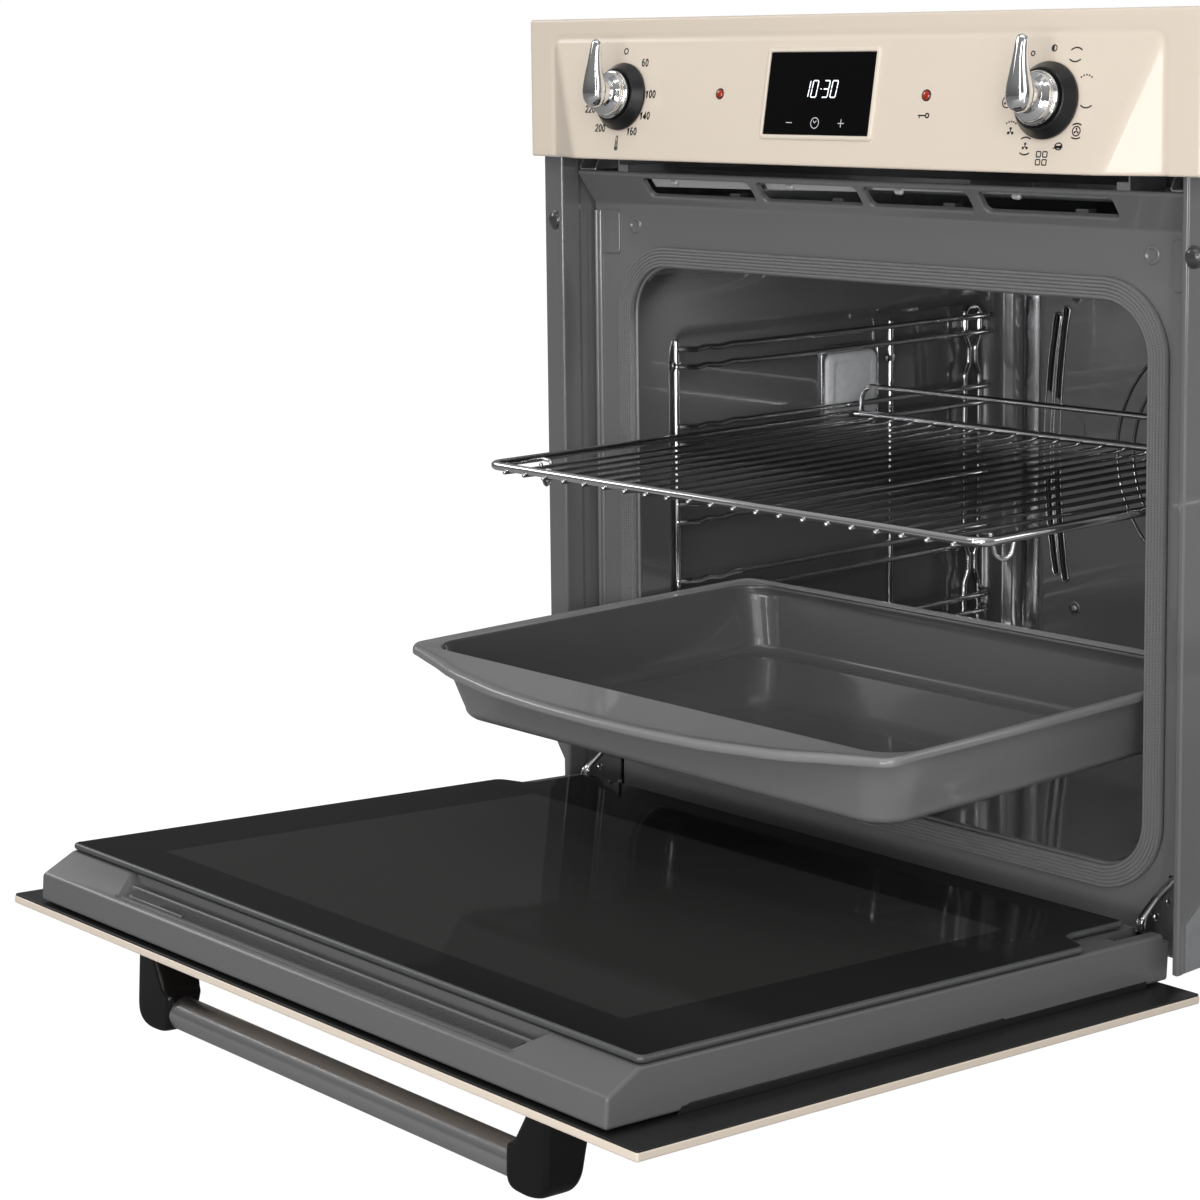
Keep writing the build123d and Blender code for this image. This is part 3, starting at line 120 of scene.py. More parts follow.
def rounded(loopfn, z0, z1, b0, b1, seg=4, inner=None):
    """Solid between two levels with rounded rims. loopfn(inset) gives the outline; inner(inset) a matching hole outline."""
    st = []
    for i in range(seg + 1 if b0 > 0 else 1):
        a = pi / 2 * (i / seg if b0 > 0 else 1)
        st.append((b0 * (1 - sin(a)), z0 + b0 * (1 - cos(a))))
    for i in range(seg + 1 if b1 > 0 else 1):
        a = pi / 2 * (1 - i / seg if b1 > 0 else 1)
        st.append((b1 * (1 - sin(a)), z1 - b1 * (1 - cos(a))))
    rings = [[(p[0], p[1], z) for p in loopfn(i)] for i, z in st]
    if inner is None:
        return loft(rings, cap0=True, cap1=True)
    rings += [[(p[0], p[1], z) for p in inner(i)] for i, z in reversed(st)]
    return loft(rings, loop=True)


def swap(g, fn):
    """Re-map each point of a piece of geometry."""
    return [fn(*p) for p in g[0]], g[1], g[2]


def fillet(points, r, n=5, closed=False):
    """Round the corners of a polyline in space."""
    P = [Vector(p) for p in points]
    out, m = [], len(P)
    for i, p in enumerate(P):
        if not closed and i in (0, m - 1):
            out.append(tuple(p))
            continue
        a, b = P[(i - 1) % m] - p, P[(i + 1) % m] - p
        ang = a.angle(b)
        rr = r[i] if isinstance(r, (list, tuple)) else r
        if rr <= 0 or ang > radians(179):
            out.append(tuple(p))
            continue
        d = min(rr / tan(ang / 2), a.length * .49, b.length * .49)
        rr = d * tan(ang / 2)
        a.normalize(), b.normalize()
        c = p + (a + b).normalized() * (rr / sin(ang / 2))
        s, e = p + a * d - c, p + b * d - c
        t = s.angle(e)
        for j in range(n + 1):
            f = j / n
            out.append(tuple(c + (s * sin((1 - f) * t) + e * sin(f * t)) / sin(t)))
    return out


def tube(path, r, n=12, closed=False, ends="round", squash=1.0):
    P = [Vector(p) for p in path]
    m = len(P)
    T = []
    for i in range(m):
        a = P[(i - 1) % m] if closed or i else P[i]
        b = P[(i + 1) % m] if closed or i < m - 1 else P[i]
        T.append((b - a).normalized())
    ref = Vector((0, 0, 1)) if abs(T[0].z) < .9 else Vector((1, 0, 0))
    U = [(ref - T[0] * ref.dot(T[0])).normalized()]
    for i in range(1, m):
        ax = T[i - 1].cross(T[i])
        u = U[-1]
        if ax.length > 1e-9:
            u = Matrix.Rotation(T[i - 1].angle(T[i]), 3, ax) @ u
        U.append((u - T[i] * u.dot(T[i])).normalized())
    rr = r if callable(r) else (lambda i: r)

    def ring(i, scale=1.0, off=0.0):
        V = T[i].cross(U[i])
        c = P[i] + T[i] * off
        # ring of points round the path point, square to the tangent
        return [tuple(c + (U[i] * cos(2 * pi * j / n) + V * (sin(2 * pi * j / n) * squash)) * rr(i) * scale) for j in range(n)]

    rings = []
    if not closed and ends == "round":
        for a in (75, 50, 25):
            rings.append(ring(0, cos(radians(a)), -rr(0) * sin(radians(a)) * .8))
    rings += [ring(i) for i in range(m)]
    if not closed and ends == "round":
        for a in (25, 50, 75):
            rings.append(ring(m - 1, cos(radians(a)), rr(m - 1) * sin(radians(a)) * .8))
    return loft(rings, cap0=not closed, cap1=not closed, loop=closed)


def lathe(profile, n=64, cap0=True, cap1=True, cx=0.0, cy=0.0, a0=0.0, closed=False):
    """profile: (radius, height); axis along the third local direction."""
    rings = [[(cx + r * cos(a0 + 2 * pi * i / n), cy + r * sin(a0 + 2 * pi * i / n), h) for i in range(n)] for r, h in profile]
    return loft(rings, cap0=cap0 and not closed, cap1=cap1 and not closed, loop=closed)


def softprofile(pts, r, n=4):
    """Round the corners of a lathe profile."""
    return [(p[0], p[1]) for p in fillet([(a, b, 0) for a, b in pts], r, n)]


def plate(outline, holes, z0, z1):
    """Flat plate with holes between two levels."""
    bm = bmesh.new()
    loops = []
    for lp in [outline] + list(holes):
        vs = [bm.verts.new((p[0], p[1], 0)) for p in lp]
        loops.append(vs)
        for i in range(len(vs)):
            bm.edges.new((vs[i], vs[(i + 1) % len(vs)]))
    bm.verts.index_update()
    bmesh.ops.triangle_fill(bm, use_beauty=True, use_dissolve=False, edges=bm.edges[:])
    bm.verts.index_update()
    tris = []
    for f in bm.faces:
        idx = [v.index for v in f.verts]
        if f.normal.z < 0:
            idx.reverse()
        tris.append(idx)
    n = len(bm.verts)
    flat = [(v.co.x, v.co.y) for v in bm.verts]
    pts = [(x, y, z0) for x, y in flat] + [(x, y, z1) for x, y in flat]
    faces = [tuple(reversed(t)) for t in tris] + [tuple(n + i for i in t) for t in tris]
    for vs in loops:
        idx = [v.index for v in vs]
        for a, b in zip(idx, idx[1:] + idx[:1]):
            faces.append((a, b, n + b, n + a))
    bm.free()
    return pts, faces, [None] * len(faces)


def ribbon(path, w, h0, h1, closed=False, n_end=5):
    """Flat printed stroke of width w along a 2-D path, between heights h0 and h1."""
    P = [Vector((p[0], p[1])) for p in path]
    m = len(P)
    L, R = [], []
    for i in range(m):
        a = P[(i - 1) % m] if closed or i else P[i]
        b = P[(i + 1) % m] if closed or i < m - 1 else P[i]
        t = (b - a).normalized()
        k = 1.0
        if (closed or 0 < i < m - 1):
            t0, t1 = (P[i] - a).normalized(), (b - P[i]).normalized()
            k = 1 / max(.5, (t0 + t1).length / 2)
        nrm = Vector((-t.y, t.x)) * (w / 2 * k)
        L.append(P[i] + nrm)
        R.append(P[i] - nrm)
    if closed:
        g = loft([[(p.x, p.y, h0) for p in R], [(p.x, p.y, h1) for p in R], [(p.x, p.y, h1) for p in L], [(p.x, p.y, h0) for p in L]], loop=True)
        return g
    out = []
    t = (P[0] - P[1]).normalized()
    a0 = atan2(t.y, t.x)
    for i in range(1, n_end):
        a = a0 + pi / 2 - pi * i / n_end
        out.append(P[0] + Vector((cos(a), sin(a))) * w / 2)
    t = (P[-1] - P[-2]).normalized()
    a0 = atan2(t.y, t.x)
    end = []
    for i in range(1, n_end):
        a = a0 - pi / 2 + pi * i / n_end
        end.append(P[-1] + Vector((cos(a), sin(a))) * w / 2)
    # anticlockwise outline: right side forward, end cap, left side back, start cap
    loop = R + end + L[::-1] + [Vector(p) for p in reversed(out)]
    return plate([(p.x, p.y) for p in loop], [], h0, h1)


class Mesh:
    """Gathers geometry given in one of the local frames."""

    def __init__(self, at=W):
        self.at, self.v, self.f, self.uv, self.mi = at, [], [], [], []

    def add(self, g, mat=0, at=None, uvscale=1.0):
        pts, faces, uvs = g
        at = at or self.at
        n = len(self.v)
        self.v += [at(*p) for p in pts]
        for i, f in enumerate(faces):
            self.f.append([n + j for j in f])
            self.uv.append(uvs[i] if uvs else None)
            self.mi.append(mat)
        return self


def bake(ob):
    dg = bpy.context.evaluated_depsgraph_get()
    me = bpy.data.meshes.new_from_object(ob.evaluated_get(dg), preserve_all_data_layers=True, depsgraph=dg)
    old = ob.data
    name = old.name
    ob.modifiers.clear()
    ob.data = me
    bpy.data.meshes.remove(old)
    me.name = name


def make(name, m, body, mats, rep=(), bevel=0.0, seg=2, sub=0, angle=38, recalc=True, weighted=True, cut=(), weld=2e-6):
    mats = mats if isinstance(mats, (list, tuple)) else [mats]
    me = bpy.data.meshes.new(name)
    me.from_pydata(m.v, [], m.f)
    layer = me.uv_layers.new(name="UVMap")
    for poly, uv, mi in zip(me.polygons, m.uv, m.mi):
        poly.material_index = mi
        for k, li in enumerate(poly.loop_indices):
            if uv is not None and k < len(uv):
                layer.data[li].uv = uv[k]
            else:
                co = me.vertices[me.loops[li].vertex_index].co
                layer.data[li].uv = (co.x + co.y, co.z + co.y)
    for mt in mats:
        me.materials.append(mt)
    bm = bmesh.new()
    bm.from_mesh(me)
    if weld:
        bmesh.ops.remove_doubles(bm, verts=bm.verts[:], dist=weld)
    bmesh.ops.dissolve_degenerate(bm, dist=1e-7, edges=bm.edges[:])
    if recalc:
        bmesh.ops.recalc_face_normals(bm, faces=bm.faces[:])
    bm.to_mesh(me)
    bm.free()
    ob = bpy.data.objects.new(name, me)
    bpy.context.scene.collection.objects.link(ob)
    if cut:
        for c in cut:
            md = ob.modifiers.new("cut", "BOOLEAN")
            md.operation, md.solver, md.object = "DIFFERENCE", "EXACT", c
        bake(ob)
    if bevel:
        md = ob.modifiers.new("edge", "BEVEL")
        md.width, md.segments, md.limit_method, md.angle_limit = bevel * MM, seg, "ANGLE", radians(32)
        md.use_clamp_overlap = False
        bake(ob)
    if sub:
        md = ob.modifiers.new("sub", "SUBSURF")
        md.levels = md.render_levels = sub
        bake(ob)
    me = ob.data
    me.shade_smooth()
    me.set_sharp_from_angle(angle=radians(angle))
    if weighted:
        md = ob.modifiers.new("normals", "WEIGHTED_NORMAL")
        md.keep_sharp = True
        md.weight = 60
    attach(ob, body)
    if rep:
        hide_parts(*([rep] if isinstance(rep, str) else rep))
    return ob


def cutter(m):
    me = bpy.data.meshes.new("cutter")
    me.from_pydata(m.v, [], m.f)
    bm = bmesh.new()
    bm.from_mesh(me)
    bmesh.ops.recalc_face_normals(bm, faces=bm.faces[:])
    bm.to_mesh(me)
    bm.free()
    ob = bpy.data.objects.new("cutter", me)
    bpy.context.scene.collection.objects.link(ob)
    return ob


def drop(*obs):
    for o in obs:
        me = o.data
        bpy.data.objects.remove(o)
        bpy.data.meshes.remove(me)


# ------------------------------------------------------------------ materials
class Mat:
    def __init__(self, name, **sockets):
        self.m = bpy.data.materials.new(name)
        self.m.use_nodes = True
        self.t = self.m.node_tree
        self.b = self.t.nodes["Principled BSDF"]
        self.tc = None
        for k, v in sockets.items():
            self.b.inputs[k.replace("_", " ")].default_value = v

    def node(self, kind, props=None, **ins):
        n = self.t.nodes.new(kind)
        for k, v in (props or {}).items():
            setattr(n, k, v)
        for k, v in ins.items():
            k = k.replace("_", " ")
            if isinstance(v, bpy.types.NodeSocket):
                self.t.links.new(v, n.inputs[k])
            else:
                n.inputs[k].default_value = v
        return n

    def co(self, scale=(1, 1, 1), rot=(0, 0, 0), kind="Object"):
        if self.tc is None:
            self.tc = self.t.nodes.new("ShaderNodeTexCoord")
        n = self.node("ShaderNodeMapping", None, Vector=self.tc.outputs[kind])
        n.inputs["Scale"].default_value = scale
        n.inputs["Rotation"].default_value = rot
        return n.outputs["Vector"]

    def noise(self, scale, detail=2.0, rough=.5, vec=None, dist=0.0):
        n = self.node("ShaderNodeTexNoise", None, Vector=vec or self.co(), Scale=scale, Detail=detail, Roughness=rough, Distortion=dist)
        return n.outputs["Fac"]

    def voronoi(self, scale, vec=None, feature="F1", out="Distance", rand=1.0):
        n = self.node("ShaderNodeTexVoronoi", {"feature": feature}, Vector=vec or self.co(), Scale=scale, Randomness=rand)
        return n.outputs[out]

    def wave(self, scale, vec=None, dist=0.0, direction="X", profile="SIN"):
        n = self.node("ShaderNodeTexWave", {"bands_direction": direction, "wave_profile": profile}, Vector=vec or self.co(), Scale=scale, Distortion=dist)
        n.inputs["Detail Scale"].default_value = 2.0
        return n.outputs["Fac"]

    def ramp(self, fac, stops, interp="LINEAR"):
        n = self.node("ShaderNodeValToRGB", None, Fac=fac)
        cr = n.color_ramp
        cr.interpolation = interp
        while len(cr.elements) > len(stops):
            cr.elements.remove(cr.elements[-1])
        while len(cr.elements) < len(stops):
            cr.elements.new(1.0)
        for e, (p, c) in zip(cr.elements, stops):
            e.position = p
            e.color = (c, c, c, 1) if not isinstance(c, (tuple, list)) else (*c[:3], 1)
        return n.outputs["Color"]

    def rng(self, fac, lo, hi, a=0.0, b=1.0):
        n = self.node("ShaderNodeMapRange", None, Value=fac)
        n.inputs["From Min"].default_value, n.inputs["From Max"].default_value = a, b
        n.inputs["To Min"].default_value, n.inputs["To Max"].default_value = lo, hi
        return n.outputs["Result"]

    def math(self, op, a, b=None, c=None):
        n = self.t.nodes.new("ShaderNodeMath")
        n.operation = op
        for i, v in enumerate((a, b, c)):
            if v is None:
                continue
            if isinstance(v, bpy.types.NodeSocket):
                self.t.links.new(v, n.inputs[i])
            else:
                n.inputs[i].default_value = v
        return n.outputs[0]

    def mix(self, fac, a, b, blend="MIX"):
        n = self.t.nodes.new("ShaderNodeMix")
        n.data_type, n.blend_type = "RGBA", blend
        for k, v in ((0, fac), (6, a), (7, b)):
            if isinstance(v, bpy.types.NodeSocket):
                self.t.links.new(v, n.inputs[k])
            else:
                n.inputs[k].default_value = v if k == 0 else (*v[:3], 1)
        return n.outputs[2]

    def bump(self, height, dist, strength=1.0, normal=None):
        n = self.node("ShaderNodeBump", None, Height=height, Distance=dist, Strength=strength)
        if normal is not None:
            self.t.links.new(normal, n.inputs["Normal"])
        return n.outputs["Normal"]

    def set(self, **socks):
        for k, v in socks.items():
            k = k.replace("_", " ")
            if isinstance(v, bpy.types.NodeSocket):
                self.t.links.new(v, self.b.inputs[k])
            else:
                self.b.inputs[k].default_value = v
        return self


def lin(*rgb):
    """sRGB 0-255 to linear."""
    f = lambda c: c / 12.92 if c <= .04045 else ((c + .055) / 1.055) ** 2.4
    return tuple(f(c / 255) for c in rgb)


def scale3(c, k):
    return tuple(min(1.0, x * k) for x in c)


def enamel(name, col, rough=.3, mottle=.04, peel=.000012, peel_size=.0016, speck=0.0, speck_col=(.6, .6, .6), coat=0.0, metal=0.0, var=.05, ripple=0.0, spec=.5):
    """Glassy or painted coat: mottled colour, orange peel, slightly uneven gloss, optional fine specks."""
    m = Mat(name, Metallic=metal, Coat_Weight=coat, Coat_Roughness=.06, Specular_IOR_Level=spec)
    broad = m.noise(7.0, 4.0)
    c = m.mix(broad, scale3(col, 1 - mottle), scale3(col, 1 + mottle))
    if speck:
        s = m.voronoi(1700.0)
        dots = m.ramp(s, [(0.0, 1.0), (.16, 1.0), (.22, 0.0)])
        gate = m.ramp(m.noise(900.0, 1.0), [(.5, 0.0), (.6, speck)])
        c = m.mix(m.math("MULTIPLY", dots, gate), c, speck_col)
    fine = m.noise(1 / peel_size, 1.5)
    n = m.bump(fine, peel)
    if ripple:
        n = m.bump(m.noise(26.0, 2.0), ripple, 1.0, n)
    m.set(Base_Color=c, Roughness=m.rng(m.noise(24.0, 2.0), rough - var, rough + var), Normal=n)
    return m.m


CREAM = lin(236, 221, 203)
cream = enamel("cream_enamel", lin(237, 223, 206), rough=.3, mottle=.012, peel=.000010, peel_size=.0022, coat=.25, var=.02, ripple=.00012)
cream_trim = enamel("cream_moulding", lin(240, 228, 212), rough=.34, mottle=.02, peel=.000008, peel_size=.0007, var=.05)
frame_grey = enamel("frame_grey_enamel", lin(116, 116, 117), rough=.22, mottle=.03, peel=.000010, peel_size=.0014, coat=.9, var=.015, ripple=.00010)
door_grey = enamel("door_frame_enamel", lin(102, 102, 103), rough=.36, mottle=.02, peel=.000012, peel_size=.0012, coat=.25, var=.02)
cavity_grey = enamel("cavity_enamel", lin(80, 80, 81), rough=.16, mottle=.05, peel=.000010, peel_size=.0030, speck=.3, speck_col=lin(150, 150, 152), coat=1.0, var=.03, ripple=.0004)
# the tray's one enamel in two copies: darker for the basin (painted shade), lighter for the rim, flange and outside
# (painted light)
tray_basin_painted_shade = enamel("tray_basin_enamel_painted_shade", lin(82, 82, 83), rough=.26, mottle=.025, peel=.000012, peel_size=.0016, speck=.1, speck_col=lin(150, 150, 152), coat=.6, var=.02, ripple=.0002)
tray_rim_painted_light = enamel("tray_outer_enamel_painted_light", lin(134, 134, 135), rough=.3, mottle=.02, peel=.000012, peel_size=.0016, speck=.08, speck_col=lin(160, 160, 162), coat=.5, var=.02, ripple=.0002)
# fan cover: a lighter copy of the cavity enamel, painted light making the back wall brighter than the light reaching it
cover_enamel_painted_light = enamel("fan_cover_enamel_painted_light", lin(108, 108, 109), rough=.17, mottle=.05, peel=.000010, peel_size=.0030, speck=.2, speck_col=lin(150, 150, 152), coat=1.0, var=.03, ripple=.0004)
vent_grey = enamel("vent_strip_plastic", lin(80, 80, 81), rough=.42, mottle=.04, peel=.000012, peel_size=.0010, var=.04)
trim_grey = enamel("trim_paint", lin(108, 108, 109), rough=.2, mottle=.012, peel=.000006, peel_size=.0010, coat=.9, var=.012)
liner_dark = enamel("door_liner_coat", lin(26, 26, 26), rough=.34, mottle=.12, peel=.000010, peel_size=.0012, var=.08)
black_satin = enamel("black_satin_plastic", lin(24, 24, 25), rough=.3, mottle=.12, peel=.000010, peel_size=.0006, var=.06)
black_post = enamel("black_gloss_casting", lin(12, 12, 13), rough=.24, mottle=.15, peel=.000014, peel_size=.0016, var=.03, spec=.3)
print_ink = enamel("dial_print_ink", lin(14, 13, 13), rough=.5, mottle=.15, peel=.000006, peel_size=.0004, var=.08)


def metal(name, col, rough, var=.03, fine=.0008, depth=.000002, broad=.03, aniso=0.0):
    m = Mat(name, Metallic=1.0, Anisotropic=aniso)
    m.set(Base_Color=m.mix(m.noise(14.0, 4.0), scale3(col, 1 - broad), scale3(col, 1 + broad)),
          Roughness=m.rng(m.noise(90.0, 4.0), max(.02, rough - var), rough + var), Normal=m.bump(m.noise(1 / fine, 2.0), depth))
    return m.m


chrome = metal("chrome_wire", (.74, .74, .75), .09, var=.04, fine=.002, depth=.000004, broad=.06)
knob_chrome = metal("knob_chrome", (.80, .80, .80), .07, var=.025, fine=.003, depth=.000004, broad=.03)
zinc = metal("zinc_screw", (.52, .52, .53), .3, var=.08, fine=.0006, depth=.000006, broad=.1)
element_tube = metal("heater_tube", (.16, .15, .15), .42, var=.12, fine=.0007, depth=.00001, broad=.25)


def brushed_bar():
    m = Mat("brushed_steel_bar", Metallic=1.0, Anisotropic=.25)
    streak = m.noise(1.0, 6.0, .7, m.co((9.0, 2600.0, 2600.0)))
    wide = m.noise(1.0, 3.0, .5, m.co((3.0, 260.0, 260.0)))
    both = m.math("ADD", m.math("MULTIPLY", streak, .6), m.math("MULTIPLY", wide, .4))
    m.set(Base_Color=m.mix(both, (.40, .40, .41), (.66, .66, .67)), Roughness=m.rng(both, .24, .38, .3, .7), Normal=m.bump(streak, .000007))
    return m.m


bar_steel = brushed_bar()


def galvanised(name="galvanised_sheet", base=(.52, .53, .54)):
    m = Mat(name, Metallic=.9)
    cell = m.voronoi(120.0, out="Color")
    sep = m.node("ShaderNodeSeparateColor", None, Color=cell).outputs[0]
    grain = m.noise(400.0, 3.0)
    k = m.math("ADD", m.math("MULTIPLY", sep, .6), m.math("MULTIPLY", grain, .4))
    m.set(Base_Color=m.mix(k, scale3(base, .93), scale3(base, 1.07)), Roughness=m.rng(sep, .36, .46), Normal=m.bump(m.noise(1500.0, 2.0), .000004))
    return m.m


galv = galvanised()
alu = metal("aluminium_sheet", (.62, .62, .63), .3, var=.08, fine=.001, depth=.000004)


def fibre_band():
    """Knitted glass-fibre band: fine plaits lying along the ribs (u runs along the band, v across it)."""
    m = Mat("gasket_fibre", Sheen_Weight=.25, Sheen_Roughness=.5)
    w1 = m.wave(1.0, m.co((420.0, 250.0, 1.0), (0, 0, .0), "UV"), 1.2)
    w2 = m.wave(1.0, m.co((420.0, -250.0, 1.0), (0, 0, .0), "UV"), 1.2, direction="DIAGONAL")
    w1b = m.wave(1.0, m.co((300.0, 420.0, 1.0), (0, 0, .0), "UV"), .8, direction="DIAGONAL")
    plait = m.math("MAXIMUM", w1b, w2)
    hair = m.noise(1.0, 5.0, .7, m.co((2400.0, 9000.0, 1.0), (0, 0, .3), "UV"))
    h = m.math("ADD", m.math("MULTIPLY", plait, .75), m.math("MULTIPLY", hair, .35))
    col = m.mix(h, lin(30, 30, 31), lin(140, 140, 141))
    m.set(Base_Color=col, Roughness=m.rng(hair, .6, .85), Normal=m.bump(h, .00045))
    return m.m


gasket_mat = fibre_band()


def lens_mat():
    m = Mat("red_lens", Coat_Weight=.6, Emission_Strength=.05)
    n = m.noise(500.0, 2.0)
    c = m.mix(n, lin(112, 18, 6), lin(206, 60, 20))
    m.set(Base_Color=c, Emission_Color=c, Roughness=m.rng(n, .08, .2))
    return m.m


def glow_mat(name, col, strength):
    m = Mat(name, Emission_Strength=strength, Roughness=.4)
    c = m.mix(m.noise(900.0, 2.0), scale3(col, .93), col)
    m.set(Base_Color=c, Emission_Color=c)
    return m.m


def gloss_black(name, col, rough=.05, dust=.5, spec=.5):
    m = Mat(name, Specular_IOR_Level=spec)
    smear = m.noise(11.0, 5.0, .6)
    motes = m.ramp(m.voronoi(420.0), [(0.0, 1.0), (.03, 1.0), (.06, 0.0)])
    m.set(Base_Color=m.mix(m.math("MULTIPLY", motes, .10 * dust), col, (.35, .35, .35)),
          Roughness=m.rng(smear, max(.01, rough * .6), rough * 1.6, .3, .7), Normal=m.bump(m.noise(9.0, 1.0), .00002))
    return m.m


display_black = gloss_black("display_glass", lin(9, 9, 10), .06, spec=.12)
glass_border = gloss_black("glass_black_print", lin(40, 40, 40), .07, spec=.012)


# window glass; painted_glow is an even white emission, a painted glow that lifts a dark pane
def window_glass(name, col, rough=.02, trans=.92, spec=.5, painted_glow=0.0):
    m = Mat(name, Transmission_Weight=trans, IOR=1.45, Specular_IOR_Level=spec, Emission_Color=(1, 1, 1, 1), Emission_Strength=painted_glow)
    smear = m.noise(9.0, 5.0, .6)
    m.set(Base_Color=m.mix(smear, scale3(col, .94), scale3(col, 1.06)), Roughness=m.rng(smear, rough * .5, rough * 1.8, .3, .7))
    return m.m


# the door window's dark tint carries a faint painted glow (white emission)
glass_tint = window_glass("door_window_tint", lin(50, 49, 48), .05, .12, .012, .005)
def ground_edge():
    m = Mat("glass_ground_edge", Specular_IOR_Level=.6)
    n = m.noise(700.0, 3.0)
    m.set(Base_Color=m.mix(n, lin(70, 71, 71), lin(92, 93, 93)), Roughness=m.rng(n, .22, .4), Normal=m.bump(n, .00001))
    return m.m


glass_edge = ground_edge()
glass_middle = window_glass("middle_glass_tint", (.62, .63, .62))
glass_outer = gloss_black("outer_window_glass", lin(20, 20, 21), .03, .3)


def lamp_glass_mat():
    m = Mat("lamp_cover_glass", Transmission_Weight=.35, IOR=1.47)
    v = m.noise(150.0, 3.0)
    m.set(Base_Color=m.mix(v, (.66, .67, .68), (.90, .91, .92)), Roughness=m.rng(v, .12, .22), Normal=m.bump(m.noise(90.0, 3.0), .00022))
    return m.m


lamp_glass = lamp_glass_mat()


# ================================================================ control fascia
def smin(a, b, k):
    h = max(k - abs(a - b), 0) / k
    return min(a, b) - h * h * k / 4


def proud(x, z):
    """How far the pressed field stands out of the border."""
    a = (577.0 - z) * tan(radians(10))
    b = (270.8 - abs(x)) * 14.917 / 35.8
    return -smin(-smin(a, b, 1.9), 0.0, .9)


def crease(x, z):
    """Fine pressed line around the foot of the raised field."""
    a, b = abs(x) - 264.0, z - 570.2
    q = hypot(max(a, 0), max(b, 0)) + min(max(a, b), 0) - 8
    return .75 * exp(-(q / 1.7) ** 2)


def axis_stops(lo, hi, step, r, n=4):
    """(position, roll angle or 'back') from one rolled edge to the other."""
    out = [(lo, "back", -1)]
    out += [(lo + r - r * sin(radians(90 * (n - i) / n)), radians(90 * (n - i) / n), -1) for i in range(n)]
    m = max(2, round((hi - lo - 2 * r) / step))
    out += [(lo + r + (hi - lo - 2 * r) * i / m, 0.0, 0) for i in range(m + 1)]
    out += [(hi - r + r * sin(radians(90 * (i + 1) / n)), radians(90 * (i + 1) / n), 1) for i in range(n)]
    out += [(hi, "back", 1)]
    return out


def build_fascia():
    X, Z0, Z1, r = 298.5, 492.4, 592.0, 1.7
    xs, zs = axis_stops(-X, X, 2.2, r), axis_stops(Z0, Z1, 1.6, r)
    rings = []
    for z, az, sz in zs:
        ring = []
        for x, ax, sx in xs:
            px, pz = x, z
            back = "back" in (ax, az)
            tx = pi / 2 if ax == "back" else ax
            tz = pi / 2 if az == "back" else az
            if tx and tz:
                a, b = sin(tx), sin(tz)
                px = sx * (X - r) + sx * r * a * sqrt(1 - b * b / 2)
                pz = (Z0 + r if sz < 0 else Z1 - r) + sz * r * b * sqrt(1 - a * a / 2)
            y = -proud(x, z) + crease(x, z) + min(r, hypot(r * (1 - cos(tx)), r * (1 - cos(tz))))
            ring.append((px, 12.0 if back else y, pz))
        rings.append(ring)
    m = Mesh()
    m.add(loft(rings, closed=False))
    me = bpy.data.meshes.new("fascia_skin")
    me.from_pydata(m.v, [], m.f)
    bm = bmesh.new()
    bm.from_mesh(me)
    bmesh.ops.remove_doubles(bm, verts=bm.verts[:], dist=2e-6)
    bmesh.ops.dissolve_degenerate(bm, dist=1e-7, edges=bm.edges[:])
    mid = min(bm.faces, key=lambda f: (f.calc_center_median() - Vector((0, YF * MM, .584))).length)
    if mid.normal.y > 0:
        bmesh.ops.reverse_faces(bm, faces=bm.faces[:])
    bm.to_mesh(me)
    bm.free()
    ob = bpy.data.objects.new("fascia_panel", me)
    bpy.context.scene.collection.objects.link(ob)
    md = ob.modifiers.new("sheet", "SOLIDIFY")
    md.thickness, md.offset = 1.4 * MM, -1
    bake(ob)
    holes = Mesh(F)
    for s in (-1, 1):
        holes.add(loft([[(p[0], p[1], w) for p in circle(4.6, 32, s * 190.9, -41.12)] for w in (-8, 6)], cap0=True, cap1=True))
        holes.add(loft([[(p[0], p[1], w) for p in circle(2.7, 24, s * 93.1, -38.28)] for w in (-8, 6)], cap0=True, cap1=True))
    holes.add(loft([[(p[0], p[1], w) for p in rrect(47.7, 27.8, 1.0, 4, 0, -37.725)] for w in (-8, 6)], cap0=True, cap1=True))
    c = cutter(holes)
    md = ob.modifiers.new("cut", "BOOLEAN")
    md.operation, md.solver, md.object = "DIFFERENCE", "EXACT", c
    bake(ob)
    drop(c)
    me = ob.data
    me.materials.clear()
    me.materials.append(cream)
    me.shade_smooth()
    me.set_sharp_from_angle(angle=radians(50))
    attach(ob, "carcass")
    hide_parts("control_fascia")


build_fascia()

# ---------------------------------------------------------------- display
dv, dh, dx = -37.725, 27.575, 47.5
m = Mesh(F)
st = [(3.4, .02), (3.35, .5), (3.0, 1.05), (2.3, 1.45), (1.5, 1.6), (.8, 1.55), (.3, 1.25), (.1, .8), (.1, -1.6), (2.0, -1.6)]
m.add(loft([[(p[0], p[1], w) for p in rrect(dx + o, dh + o, .7 + o * .75, 6, 0, dv)] for o, w in st], loop=True))
make("display_bezel_frame", m, "carcass", cream_trim, "display_bezel")
m = Mesh(F)
m.add(rounded(lambda i: rrect(dx - .06 - i, dh - .06 - i, max(.2, .8 - i), 5, 0, dv), -2.4, .8, .2, .5, 4))
make("display_pane", m, "carcass", display_black, "display_glass")

SEG = {"a": ((0, 1), (1, 1)), "b": ((1, 1), (1, .5)), "c": ((1, .5), (1, 0)), "d": ((0, 0), (1, 0)), "e": ((0, .5), (0, 0)), "f": ((0, 1), (0, .5)), "g": ((0, .5), (1, .5))}
DIG = {"0": "abcdef", "1": "bc", "2": "abged", "3": "abgcd", "4": "fgbc", "5": "afgcd", "6": "afgcde", "7": "abc", "8": "abcdefg", "9": "abcdfg"}


